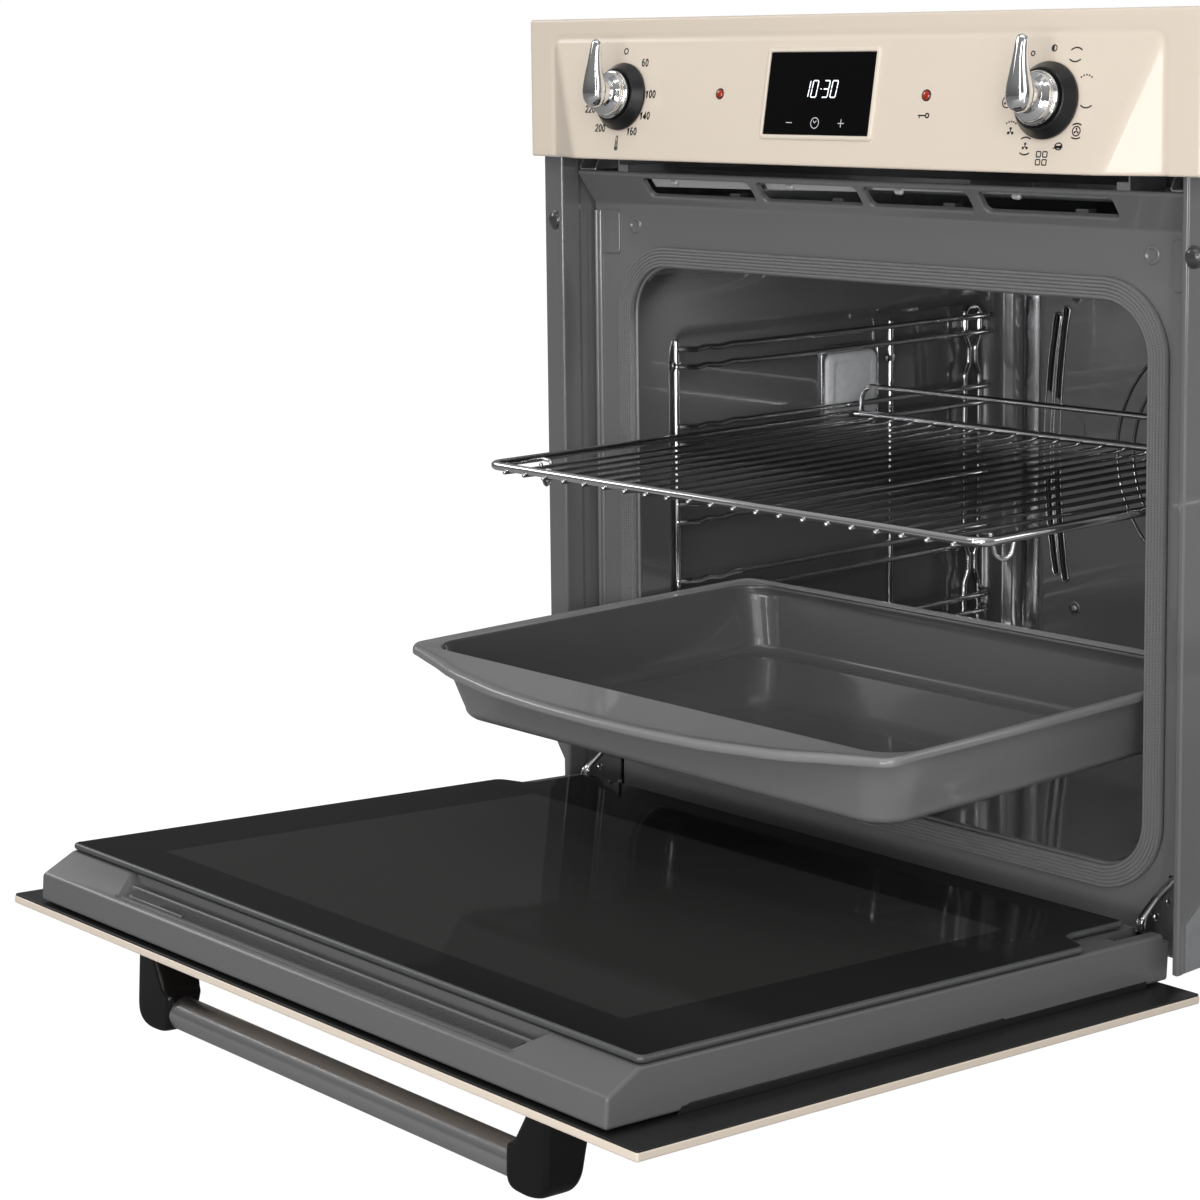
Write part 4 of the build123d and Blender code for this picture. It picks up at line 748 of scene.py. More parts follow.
def seg_digits(m, text, u0, v0, h, w, pitch, t, z0, z1, slant=.14):
    u = u0
    for ch in text:
        if ch == ".":
            c = (u + .9, v0 + h * .5)
            m.add(plate(circle(t * .62, 12, c[0] + slant * h * .5, c[1]), [], z0, z1))
            u += pitch * .42
            continue
        for s in DIG[ch]:
            (ax, ay), (bx, by) = SEG[s]
            ax, bx, ay, by = ax * w, bx * w, ay * h, by * h
            L = hypot(bx - ax, by - ay)
            dx_, dy_ = (bx - ax) / L, (by - ay) / L
            g = t * .62
            a, b = (ax + dx_ * g, ay + dy_ * g), (bx - dx_ * g, by - dy_ * g)
            k = t / 2
            out = [(a[0] - dx_ * k, a[1] - dy_ * k), (a[0] + dy_ * k, a[1] - dx_ * k), (b[0] + dy_ * k, b[1] - dx_ * k),
                   (b[0] + dx_ * k, b[1] + dy_ * k), (b[0] - dy_ * k, b[1] + dx_ * k), (a[0] - dy_ * k, a[1] + dx_ * k)]
            m.add(plate([(u + x + slant * y, v0 + y) for x, y in out], [], z0, z1))
        u += pitch


m = Mesh(F)
seg_digits(m, "10.30", -14.4, -40.2, 11.0, 4.7, 7.2, .78, .81, .86)
make("display_time", m, "carcass", glow_mat("display_digits", (.88, .94, 1.0), 1.0), weighted=False)


def arc(cx, cy, r, a0, a1, n=14, ry=None):
    ry = r if ry is None else ry
    return [(cx + r * cos(radians(a0 + (a1 - a0) * i / n)), cy + ry * sin(radians(a0 + (a1 - a0) * i / n))) for i in range(n + 1)]


m = Mesh(F)
z0, z1 = .81, .85
m.add(ribbon([(-26.6, -57.3), (-21.6, -57.3)], .5, z0, z1))
m.add(ribbon([(20.3, -57.3), (25.3, -57.3)], .5, z0, z1))
m.add(ribbon([(22.8, -59.8), (22.8, -54.8)], .5, z0 + .005, z1 + .005))
m.add(ribbon(circle(3.5, 36, -.6, -57.3), .5, z0, z1, closed=True))
m.add(ribbon([(-2.1, -55.9), (-.6, -57.3), (.8, -55.9)], .45, z0, z1))
make("touch_marks", m, "carcass", glow_mat("display_marks", (.55, .57, .6), .35), weighted=False)

# ---------------------------------------------------------------- indicator lamps
m = Mesh(F)
for s in (-1, 1):
    prof = [(2.5, -8.0), (2.5, 0.02), (3.1, .05), (3.15, .3), (2.9, .55), (2.2, .95), (1.25, 1.18), (.4, 1.24)]
    m.add(lathe(prof, 12, cx=s * 93.1, cy=-38.28))
ringm = Mesh(F)
for s in (-1, 1):
    ringm.add(lathe([(3.0, -.3), (3.0, .42), (3.25, .62), (3.6, .5), (3.85, .1), (3.9, -.3)], 40, cx=s * 93.1, cy=-38.28, closed=True))
make("signal_lens_rings", ringm, "carcass", black_satin, None, angle=60)
make("signal_lenses", m, "carcass", lens_mat(), "indicator_lenses", angle=12, weighted=False)

# ---------------------------------------------------------------- dial marks
GL = {
    "0": [arc(.5, .5, .42, 0, 360, 22, .5)],
    "1": [[(.22, .8), (.55, 1.0), (.55, 0)]],
    "2": [arc(.5, .70, .40, 160, -38, 10, .30) + [(.08, 0), (.92, 0)]],
    "4": [[(.72, 0), (.72, 1.0), (.06, .3), (.95, .3)]],
    "6": [arc(.5, .3, .40, 0, 360, 16, .30), arc(.55, .5, .45, 75, 190, 8, .5)],
}


def number(m, text, cu, cv, h=4.8, w=2.6, pitch=3.6, t=1.0, z0=.03, z1=.09):
    u = cu - (pitch * (len(text) - 1) + w) / 2
    for ch in text:
        for k, s in enumerate(GL[ch]):
            q = [(u + x * w, cv - h / 2 + y * h) for x, y in s]
            closed = hypot(q[0][0] - q[-1][0], q[0][1] - q[-1][1]) < 1e-6
            m.add(ribbon(q[:-1] if closed else q, t, z0 + .004 * k, z1 + .004 * k, closed=closed))
        u += pitch


m = Mesh(F)
KX, KV = 190.9, -41.12
for text, ru, rv in (("60", 19.4, 24.4), ("100", 28.6, 2.2), ("140", 25.2, -13.0), ("160", 13.6, -24.3), ("200", -19.6, -22.4), ("220", -32.5, -8.9)):
    number(m, text, -KX + ru, KV + rv)
m.add(ribbon(circle(1.95, 24, -KX - 1.5, KV + 32.6), .9, .03, .09, closed=True))
# thermometer
tx, ty = -KX - .8, KV - 33.0
m.add(ribbon(arc(tx, ty - 3.4, 1.5, 60, -240, 16)[1:-1] + [(tx - .75, ty + 4.4)] + arc(tx, ty + 4.4, .75, 180, 0, 6)[1:], .70, .03, .09, closed=True))
m.add(plate(circle(.95, 16, tx, ty - 3.4), [], .034, .094))
m.add(ribbon([(tx, ty - 3.0), (tx, ty + 1.6)], .6, .038, .098))


def fan3(m, cx, cy, r, z0=.03, z1=.09):
    for k in range(3):
        a = 90 + 120 * k
        q = [(cx, cy)] + arc(cx, cy, r, a - 26, a + 26, 5)
        c = (cx + r * .62 * cos(radians(a)), cy + r * .62 * sin(radians(a)))
        m.add(plate(circle(r * .33, 10, *c), [], z0 + .004 * k, z1 + .004 * k))
        m.add(ribbon([(cx, cy), c], .6, z0 + .012 + .004 * k, z1 + .012 + .004 * k))


def top_arc(m, cx, cy, w=4.0, dots=False):
    pts = arc(cx, cy - 5.0, 6.4, 90 + 38 * w / 4, 90 - 38 * w / 4, 12)
    if dots:
        for p in pts[::3]:
            m.add(plate(circle(.62, 10, *p), [], .03, .09))
    else:
        m.add(ribbon(pts, .92, .03, .09))


def low_arc(m, cx, cy, w=4.0):
    m.add(ribbon(arc(cx, cy + 5.0, 6.4, -90 - 38 * w / 4, -90 + 38 * w / 4, 12), .92, .03, .09))


U = lambda ru: KX + ru
V = lambda rv: KV + rv
m.add(ribbon(circle(1.35, 20, U(-15.6), V(29.2)), .8, .03, .09, closed=True))
m.add(ribbon(circle(1.9, 24, U(.6), V(32.4)), .70, .03, .09, closed=True))
m.add(plate(arc(U(.6), V(32.4), 1.8, 90, 270, 14), [], .034, .094))
top_arc(m, U(17.8), V(31.2))
low_arc(m, U(17.4), V(25.4))
top_arc(m, U(27.6), V(14.6), dots=True)
low_arc(m, U(29.6), V(-2.6))
cx, cy = U(24.6), V(-18.2)
m.add(ribbon(circle(2.9, 28, cx, cy), .78, .03, .09, closed=True))
fan3(m, cx, cy, 2.2, .05, .11)
top_arc(m, cx, cy + 3.2, 3.0)
low_arc(m, cx, cy - 3.2, 3.0)
# plain leaf
cx, cy = U(12.4), V(-27.4)
m.add(ribbon(arc(cx, cy - 1.4, 3.2, 20, 160, 10) [::-1] + arc(cx, cy + .8, 3.2, 200, 340, 10)[1:-1], .78, .03, .09, closed=True))
m.add(ribbon([(cx - 3.9, cy - 1.6), (cx + 1.6, cy + .1)], .65, .036, .096))
for ax, ay in ((-2.45, 2.45), (2.45, 2.45), (-2.45, -2.45), (2.45, -2.45)):
    m.add(ribbon([(p[0], p[1]) for p in rrect(1.65, 1.65, .5, 3, U(0.3) + ax, V(-35.2) + ay)], .78, .03, .09, closed=True))
cx, cy = U(-13.4), V(-28.3)
fan3(m, cx, cy, 2.8)
top_arc(m, cx, cy + 4.4, 3.4)
low_arc(m, cx, cy - 3.6, 3.4)
cx, cy = U(-26.2), V(-19.2)
fan3(m, cx, cy, 3.0)
top_arc(m, cx, cy + 4.8, 3.6, dots=True)
cx, cy = U(-31.6), V(-1.0)
m.add(ribbon(circle(3.5, 30, cx, cy), .78, .03, .09, closed=True))
fan3(m, cx, cy, 2.6, .05, .11)
# key under the right lamp
m.add(ribbon(circle(1.35, 20, 95.6, -51.2), 1.0, .03, .09, closed=True))
m.add(ribbon([(94.2, -51.2), (88.2, -51.2)], .9, .036, .096))
m.add(ribbon([(89.2, -51.2), (89.2, -52.8)], .7, .042, .102))
make("dial_print", m, "carcass", print_ink, weighted=False)

# ================================================================ knobs
for nm, s, body in (("thermostat", -1, "thermostat_control"), ("function", 1, "function_control")):
    cx, cy = s * KX, KV
    m = Mesh(F)
    prof = [(21.5, .62), (23.5, .6)] + softprofile([(23.5, .6), (24.0, 1.0), (24.0, 2.7), (19.35, 9.3), (18.6, 9.6), (18.0, 9.4), (17.5, 8.8), (3.2, 8.8)], .35, 3) + [(3.05, 9.0), (3.05, 4.9), (7.0, 4.9), (7.0, .7), (8.0, .7), (8.0, 5.4), (21.5, 5.4)]
    m.add(lathe(prof, 128, cx=cx, cy=cy, closed=True))
    make(nm + "_dial_skirt", m, body, black_satin, nm + "_skirt", angle=30)
    m = Mesh(F)
    m.add(lathe([(2.9, -33.6), (2.9, 19.0), (2.2, 20.0)], 32, cx=cx, cy=cy))
    make(nm + "_spindle", m, body, zinc, nm + "_shaft")
    # polished body: collar, waist, cone and stem
    m = Mesh(F)
    prof = softprofile([(3.0, 9.7), (16.2, 9.7), (17.0, 10.4), (17.0, 12.3), (16.3, 13.1), (15.1, 13.3), (14.9, 14.6), (15.3, 15.6), (15.1, 16.9), (12.6, 18.4),
                        (10.6, 19.4), (9.5, 21.0), (9.3, 25.0), (6.0, 26.0)], .55, 4)
    m.add(lathe(prof, 96, cx=cx, cy=cy))
    # lever: stations up the field; (v, half width low, half width high, back, front, ridge)
    ST = [(-11.4, .5, .3, 25.4, 28.2), (-10.9, 3.2, 2.0, 23.6, 29.8), (-9.4, 6.1, 4.2, 22.6, 31.6), (-6.2, 8.6, 6.2, 22.0, 33.2), (-2.0, 9.7, 7.0, 21.8, 34.2), (3.0, 9.7, 6.6, 22.2, 34.8),
          (8.0, 8.6, 5.6, 24.0, 34.9), (13.5, 7.1, 4.4, 26.2, 34.8), (20.0, 5.7, 3.4, 27.4, 34.6), (27.0, 4.9, 3.0, 28.0, 34.3), (32.0, 4.5, 2.9, 28.4, 33.9), (34.6, 3.7, 2.4, 29.0, 33.4), (35.8, 2.0, 1.3, 30.0, 32.4), (36.0, .5, .3, 30.8, 31.6)]
    rings = []
    for v, a, b, lo, hi in ST:
        hgt = hi - lo
        sec = [(0, 0), (.55 * a, .0), (.9 * a, .10 * hgt), (1.0 * a, .30 * hgt), (.97 * a, .55 * hgt), (.5 * (a + b), .80 * hgt), (.42 * b, .955 * hgt), (.12 * b, hgt)]
        ring = [(cx + u, cy + v, lo + w) for u, w in sec] + [(cx - u, cy + v, lo + w) for u, w in sec[:0:-1]]
        rings.append(ring)
    lever = Mesh(F)
    lever.add(loft(rings, cap0=True, cap1=True))
    knob = make(nm + "_knob_body", m, body, knob_chrome, nm + "_knob", angle=60)
    make(nm + "_knob_lever", lever, body, knob_chrome, None, sub=2, angle=180, weighted=False)


# ================================================================ sheet-metal helpers
def sheet(outline, holes, z=0.0):
    """One-sided flat sheet with holes."""
    pts, faces, _ = plate(outline, holes, z, z + 1.0)
    n = len(pts) // 2
    f = [t for t in faces if all(i < n for i in t)]
    return pts[:n], f, [None] * len(f)


def skin(name, m, body, mats, rep=(), thick=1.0, probe=(0, 0, 0), face=(0, -1, 0), angle=40, weld=3e-5, weighted=True, at=W):
    """Folded sheet: welds the surface, turns it so that it looks along `face` at `probe`, and gives it its thickness behind."""
    mats = mats if isinstance(mats, (list, tuple)) else [mats]
    me = bpy.data.meshes.new(name)
    me.from_pydata(m.v, [], m.f)
    layer = me.uv_layers.new(name="UVMap")
    for poly, uv, mi in zip(me.polygons, m.uv, m.mi):
        poly.material_index = mi
        for k, li in enumerate(poly.loop_indices):
            co = me.vertices[me.loops[li].vertex_index].co
            layer.data[li].uv = uv[k] if uv is not None and k < len(uv) else (co.x + co.y, co.z + co.y)
    for mt in mats:
        me.materials.append(mt)
    bm = bmesh.new()
    bm.from_mesh(me)
    bmesh.ops.remove_doubles(bm, verts=bm.verts[:], dist=weld)
    bmesh.ops.dissolve_degenerate(bm, dist=1e-7, edges=bm.edges[:])
    bmesh.ops.recalc_face_normals(bm, faces=bm.faces[:])
    pt = Vector(at(*probe))
    mid = min(bm.faces, key=lambda f: (f.calc_center_median() - pt).length)
    if mid.normal.dot(Vector(face)) < 0:
        bmesh.ops.reverse_faces(bm, faces=bm.faces[:])
    bm.to_mesh(me)
    bm.free()
    ob = bpy.data.objects.new(name, me)
    bpy.context.scene.collection.objects.link(ob)
    md = ob.modifiers.new("sheet", "SOLIDIFY")
    md.thickness, md.offset = thick * MM, -1
    md.use_even_offset = True
    if len(mats) > 1:
        md.material_offset = md.material_offset_rim = 1
    bake(ob)
    me = ob.data
    me.shade_smooth()
    me.set_sharp_from_angle(angle=radians(angle))
    if weighted:
        md = ob.modifiers.new("normals", "WEIGHTED_NORMAL")
        md.keep_sharp = True
        md.weight = 60
    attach(ob, body)
    if rep:
        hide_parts(*([rep] if isinstance(rep, str) else rep))
    return ob


def strip(section, lo, hi, n=1):
    """Section points (a, b) carried along the third direction."""
    return loft([[(a, b, lo + (hi - lo) * i / n) for a, b in section] for i in range(n + 1)], closed=False)


def fil2(pts, r, n=5, closed=False):
    return [(p[0], p[1]) for p in fillet([(a, b, 0) for a, b in pts], r, n, closed)]


# ================================================================ front frame and slanted hood
ZT, XO = 452.0, 272.6
P = fil2([(43, ZT), (43, 456.5), (24, 481.7), (72, 481.7)], [0, 5, 2.0, 0], 6)
A, B = P[:8], P[8:]
SD_ = ((24 - 43) / 31.56, (481.7 - 456.5) / 31.56)
t0 = hypot(A[-1][0] - 43, A[-1][1] - 456.5)
LT = hypot(B[0][0] - A[-1][0], B[0][1] - A[-1][1])


def HS(x, t, w):
    """Slanted hood: x across, t up the slope from its lower bend, w outward."""
    return W(x, A[-1][0] + SD_[0] * t - w * SD_[1], A[-1][1] + SD_[1] * t + w * SD_[0])


def FF(x, z, w):
    """Flat front of the frame: w towards the room."""
    return W(x, 43.0 - w, z)


OC, OHX, OHZ = 231.25, 232.0, 179.75
m = Mesh()
oo = 2.4
hole = rrect(OHX + oo, OHZ + oo, 34 + oo, 12, 0, OC)
hs = [rrect(4.8, 25.0, 1.2, 4, s * 256.3, 28.6) for s in (-1, 1)]
m.add(sheet([(-XO, 3), (XO, 3), (XO, ZT), (-XO, ZT)], [hole] + hs), at=FF)
# rolled opening lip, hidden mostly under the seal
lip = []
for i in range(6):
    a = radians(90 * i / 5)
    lip.append((2.4 - 2.4 * sin(a), 2.4 * (1 - cos(a))))
lip.append((0.0, 5.0))
m.add(loft([[(p[0], p[1], -d) for p in rrect(OHX + o, OHZ + o, 34 + o, 12, 0, OC)] for o, d in lip]), at=FF)
# the long edges are bent back
bend = fil2([(XO - .0, 43), (277.0, 43), (277.0, 62)], [0, 4.39, 0], 6)
for s in (-1, 1):
    m.add(swap(strip(bend, 3, ZT), lambda x, y, z, s=s: (s * x, y, z)))
xs = [-276, -XO, XO, 276]
m.add(loft([[(x, y, z) for y, z in A] for x in xs], closed=False))
m.add(loft([[(x, y, z) for y, z in B] for x in xs], closed=False))
VENTS = ((-209.7, -102.7), (-94.8, -1.7), (5.6, 95.3), (105.4, 211.8))
vh = []
vr = 1.6
for a, b in VENTS:
    cx, cz = (a + b) / 2, (8.3 + 24.9) / 2 - t0
    hx, hz = (b - a) / 2, 8.3
    vh.append(rrect(hx + vr, hz + vr, 4 + vr, 6, cx, cz))
    rings = []
    for i in range(6):
        q = radians(90 * i / 5)
        o, d = vr - vr * sin(q), vr * (1 - cos(q))
        rings.append([(p[0], p[1], -d) for p in rrect(hx + o, hz + o, 4 + o, 6, cx, cz)])
    rings.append([(p[0], p[1], -4.2) for p in rrect(hx, hz, 4, 6, cx, cz)])
    m.add(loft(rings), at=HS)
m.add(sheet([(-276, 0), (-XO, 0), (XO, 0), (276, 0), (276, LT), (XO, LT), (-XO, LT), (-276, LT)], vh), at=HS)
frame_ob = skin("front_frame_sheet", m, "carcass", frame_grey, "front_frame", 1.15, (0, 43, 430), (0, -1, 0), angle=44)
m = Mesh(FF)
for s in (-1, 1):
    m.add(rounded(lambda i: rrect(10.0 - i, 16.25 - i, max(.5, 3.4 - i), 6, s * 258.6, 437.2 - 1.5), -.05, 1.5, 0, .9, 4))
    m.add(lathe([(6.5, -.05), (6.3, .2), (5.9, .8), (5.3, 1.15), (4.5, 1.2), (3.9, 1.0), (3.5, .45), (3.1, .08), (2.7, -.04)], 40, cx=s * 232.9, cy=441.6))
    # paired beads down the outer edge
    for bx, br in ((275.0, 2.0), (270.6, 2.1)):
        m.add(swap(strip([(bx + br * cos(pi * i / 12), -.05 + br * sin(pi * i / 12)) for i in range(13)], 4, ZT - 1, 6), lambda x, w, z, s=s: (s * x, z, w)))
make("frame_embossing", m, "carcass", frame_grey, None)
# bright duct lip behind the vents
m = Mesh(HS)
for (a, b), lo_ in zip(VENTS, (.30, .42, .62, .70)):
    cx, cz = (a + b) / 2, (8.3 + 24.9) / 2 - t0
    hx = (b - a) / 2 - 3.0
    t_lo, t_hi = cz - 8.3 + 16.6 * lo_, cz + 8.6
    m.add(swap(rounded(lambda i: [(cx - hx + i, t_lo + i), (cx + hx - i, t_lo + 1.2 + i), (cx + hx - i, t_hi - i), (cx - hx + i, t_hi - i)], -6.6, -5.6, .3, .3, 3), lambda x, t, w: (x, t, w)))
    m.add(tube([(cx - hx + 22, cz + 2.5, -4.9), (cx - hx + 26, cz + 2.3, -4.9)], 2.2, 12))
make("vent_duct_lip", m, "carcass", enamel("duct_lip_zinc", lin(206, 206, 206), rough=.3, mottle=.12, peel=.00001, peel_size=.0012, metal=.35, var=.08), None)
# small brackets over the hood's ends, light steel
m = Mesh()
for s in (-1, 1):
    for xa, xb in ((257.5, 258.7), (274.4, 275.6)):
        m.add(swap(rounded(lambda i: [(p[0], p[1]) for p in fil2([(26 + i, 482.4 + i), (62 - i, 482.4 + i), (62 - i, 491.2 - i), (31 + i, 491.2 - i)], 1.2, 3, True)], 0, 1.2, .25, .25, 2), lambda y, z, w, xa=xa, s=s: (s * (xa + w), y, z)))
    m.add(swap(rounded(lambda i: rrect(8.5 - i, 18.0 - i, 1.0, 3, s * 266.5, 44.5), 482.0, 483.0, .25, .25, 2), lambda x, y, z: (x, y, z)))
make("hood_end_brackets", m, "carcass", galv, None)
m = Mesh()
for s in (-1, 1):
    # slanting gusset that closes the hood's end
    q = fil2([(42.6, 457.5), (25.0, 480.9), (60, 480.9), (60, 457.5)], 1.5, 3, True)
    m.add(swap(rounded(lambda i: q, 0, 1.0, 0, 0, 1), lambda y, z, w, s=s: (s * (274.0 + w), y, z)))
make("hood_gussets", m, "carcass", frame_grey, None)

# ================================================================ side trims
for side, s in (("left", -1), ("right", 1)):
    m = Mesh()
    # section seen from above: outer return, flange, rounded bend, wall with a small jog
    st = [3.0, 5.5, 12.0, 20.0, 28.0, 35.0, 41.0, 48.0, 54.0, 58.0, 491.6]
    rings = []
    for z in st:
        xo = 282.5 + (z - 3.0) if z < 5.5 else 285.0 if z <= 35 else 285 + (z - 35) * 13.2 / 19 if z < 54 else 298.2
        sec = fil2([(xo, 15.2), (xo, 12.0), (282.6, 12.0), (281.6, 11.0), (277.5, 11.0), (277.5, 27.0), (278.3, 30.0), (278.3, 44.6)], [0, 1.0, .6, .9, 3.6, .9, .9, 0], 6)
        rings.append([(s * x, y, z) for x, y in sec])
    m.add(loft(rings, closed=False))
    skin("side_trim_" + side + "_sheet", m, "carcass", trim_grey, "side_trim_" + side, 1.0, (s * 288, 12, 250), (0, -1, 0), angle=35)
m = Mesh(lambda x, z, w: W(x, 12.0 - w, z))
for s in (-1, 1):
    prof = [(2.6, -.3), (6.9, -.3), (7.1, -.1), (7.1, .3), (6.85, .5), (6.3, .55), (6.05, .75), (5.75, 1.25), (5.2, 1.85), (4.3, 2.45), (3.2, 2.9), (1.9, 3.15), (.4, 3.2)]
    m.add(lathe(prof, 48, cx=s * 286.4, cy=444.7))
    m.add(lathe([(2.0, -17.2), (2.0, -.4)], 20, cx=s * 286.4, cy=444.7))
make("cabinet_screw_domes", m, "carcass", enamel("dark_screw_coat", lin(74, 74, 76), rough=.24, mottle=.05, peel=.000008, coat=.5, metal=.35), "cabinet_screws")

# ================================================================ seal round the opening
prof = [(1.68, 42.95), (1.66, 40.4)]
edges_ = [1.7 + e_ * 13.7 / 15.4 for e_ in (0.0, 2.5, 5.15, 7.8, 10.45, 13.1, 15.4)]
for a, b in zip(edges_, edges_[1:]):
    c, h = (a + b) / 2, (b - a) / 2
    for i in range(7):
        q = radians(180 * i / 6)
        prof.append((c - h * cos(q) * .97, 40.1 - 2.35 * sin(q) ** .8))
prof += [(15.42, 40.4), (15.42, 42.95)]
NG, KG = 14, 40
rings = [[(p[0], y, p[1]) for p in rrect(OHX + o, OHZ + o, 34 + o, NG, 0, OC, KG, 30)] for o, y in prof]
m = Mesh()
m.add(loft(rings, loop=True))
make("door_seal_band", m, "carcass", gasket_mat, "door_gasket", angle=180, weighted=False)

# ================================================================ cavity
CHX, CHZ = 231.0, 180.95


def edge_mask(v, lo, hi, w):
    return smooth((v - lo) / w) * smooth((hi - v) / w)


def recess(y, z):
    """Depth of the pressed side panel (8 mm), rounded corners."""
    cy, cz, hy, hz, r = 260.5, 218.0, 185.5, 143.0, 22.0
    dx, dz = max(abs(y - cy) - (hy - r), 0), max(abs(z - cz) - (hz - r), 0)
    d = r - hypot(dx, dz) if dx or dz else min(hy - abs(y - cy), hz - abs(z - cz))
    if dx and not dz:
        d = hy - abs(y - cy)
    if dz and not dx:
        d = hz - abs(z - cz)
    return 8.0 * smooth((d + 1.0) / 9.0)


ys = [44.3, 46, 50, 58, 66, 70, 72, 74, 76, 78, 80, 82, 84, 86, 90, 96, 104]
ys += [104 + 13.0 * i for i in range(1, 25)]
ys += [422, 428, 431, 434, 436, 438, 440, 442, 444]
rings = []


def cav_ring(y, ix=0.0, iz=0.0, r=34.0):
    base = rrect(CHX - ix, CHZ - iz, r, 10, 0, OC, 34, 64)
    out = []
    for x, z in base:
        if abs(x) > CHX - ix - 3:
            d = recess(y, z) if ix == 0 else recess(y, z) * max(0, 1 - ix / 6)
            x += d if x > 0 else -d
        out.append((x, y, z))
    return out


for y in ys:
    if y <= 438:
        rings.append(cav_ring(y))
for i in range(1, 9):
    a = radians(90 * i / 8)
    rings.append(cav_ring(438 + 22 * sin(a), 22 * (1 - cos(a)), 12 * (1 - cos(a)), 34 - 12 * (1 - cos(a)) * .9))
back = [(CHX - 22, CHZ - 12, 23.0, OC, 460.0), (162, 157, 46, 243.5, 460.0), (154.5, 149.5, 42, 243.5, 461.4), (151, 146, 40, 243.5, 465.0), (150, 145, 40, 243.5, 470.0), (150, 145, 40, 243.5, 482.0), (147.5, 142.5, 38, 243.5, 488.5), (141, 136, 34, 243.5, 491.8), (60, 56, 20, 243.5, 492.0), (8, 8, 6, 243.5, 492.0)]
for hx, hz, r, cz, y in back:
    rings.append([(p[0], y, p[1]) for p in rrect(hx, hz, r, 10, 0, cz, 34, 64)])
m = Mesh()
m.add(loft(rings, cap1=True))
skin("cavity_liner", m, "carcass", cavity_grey, "cavity_shell", 1.1, (0, 250, 412), (0, 0, -1), angle=50)


# ================================================================ fan cover on the back wall
def circ3(a, b, c):
    """Circle through three points."""
    (x1, y1), (x2, y2), (x3, y3) = a, b, c
    d = 2 * (x1 * (y2 - y3) + x2 * (y3 - y1) + x3 * (y1 - y2))
    ux = ((x1 ** 2 + y1 ** 2) * (y2 - y3) + (x2 ** 2 + y2 ** 2) * (y3 - y1) + (x3 ** 2 + y3 ** 2) * (y1 - y2)) / d
    uy = ((x1 ** 2 + y1 ** 2) * (x3 - x2) + (x2 ** 2 + y2 ** 2) * (x1 - x3) + (x3 ** 2 + y3 ** 2) * (x2 - x1)) / d
    return ux, uy, hypot(x1 - ux, y1 - uy)


def arc3(a, b, c, n, off=0.0, trim=0.0):
    ux, uy, r = circ3(a, b, c)
    a0, a2 = atan2(a[1] - uy, a[0] - ux), atan2(c[1] - uy, c[0] - ux)
    a1 = atan2(b[1] - uy, b[0] - ux)
    while a2 - a0 > pi:
        a2 -= 2 * pi
    while a2 - a0 < -pi:
        a2 += 2 * pi
    k = trim / r * (1 if a2 > a0 else -1)
    a0, a2 = a0 + k, a2 - k
    return [(ux + (r + off) * cos(a0 + (a2 - a0) * i / n), uy + (r + off) * sin(a0 + (a2 - a0) * i / n)) for i in range(n + 1)]


def band(a, b, c, half, n=26):
    """Outline of a curved slot of the given half width, with round ends."""
    L, R = arc3(a, b, c, n, half), arc3(a, b, c, n, -half)
    m_ = arc3(a, b, c, n)
    out = list(L)
    e = (Vector(m_[-1]) - Vector(m_[-2])).normalized()
    q = atan2(L[-1][1] - m_[-1][1], L[-1][0] - m_[-1][0])
    sgn = 1 if (cos(q + pi / 2) * e.x + sin(q + pi / 2) * e.y) > 0 else -1
    out += [(m_[-1][0] + half * cos(q + sgn * pi * i / 6), m_[-1][1] + half * sin(q + sgn * pi * i / 6)) for i in range(1, 6)]
    out += R[::-1]
    q = atan2(R[0][1] - m_[0][1], R[0][0] - m_[0][0])
    out += [(m_[0][0] + half * cos(q + sgn * pi * i / 6), m_[0][1] + half * sin(q + sgn * pi * i / 6)) for i in range(1, 6)]
    area2 = sum(p[0] * q_[1] - q_[0] * p[1] for p, q_ in zip(out, out[1:] + out[:1]))
    return out if area2 > 0 else out[::-1]


def FC(x, z, w):
    """Face of the fan cover: w towards the room."""
    return W(x, 450.0 - w, z)


def cover_loop(o, ox=0.0):
    """Outline, o outward from the edge of the flat face."""
    return rrect(178 + o, 146 + o, max(3, 8 + o), 8, 0, 225, 10)


m = Mesh(FC)
holes = []
for s in (-1, 1):
    holes.append(band((s * 163.6, 348), (s * 173.0, 248), (s * 163.2, 137), 2.5))
    holes.append(band((s * 154.2, 354), (s * 163.4, 249), (s * 153.8, 132), 2.5))
for r0, r1 in ((26, 34), (44, 52), (62, 70)):
    for k in range(12):
        a0 = 2 * pi * k / 12
        h0, h1 = 3.0 / r0, 3.0 / r1
        n_ = 8
        o_ = [(r1 * cos(a0 + h1 + (2 * pi / 12 - 2 * h1) * i / n_), 243.5 + r1 * sin(a0 + h1 + (2 * pi / 12 - 2 * h1) * i / n_)) for i in range(n_ + 1)]
        i_ = [(r0 * cos(a0 + h0 + (2 * pi / 12 - 2 * h0) * i / n_), 243.5 + r0 * sin(a0 + h0 + (2 * pi / 12 - 2 * h0) * i / n_)) for i in range(n_ + 1)]
        holes.append(o_ + i_[::-1])
inner_loop = cover_loop(-3.0)
m.add(sheet(inner_loop, holes))
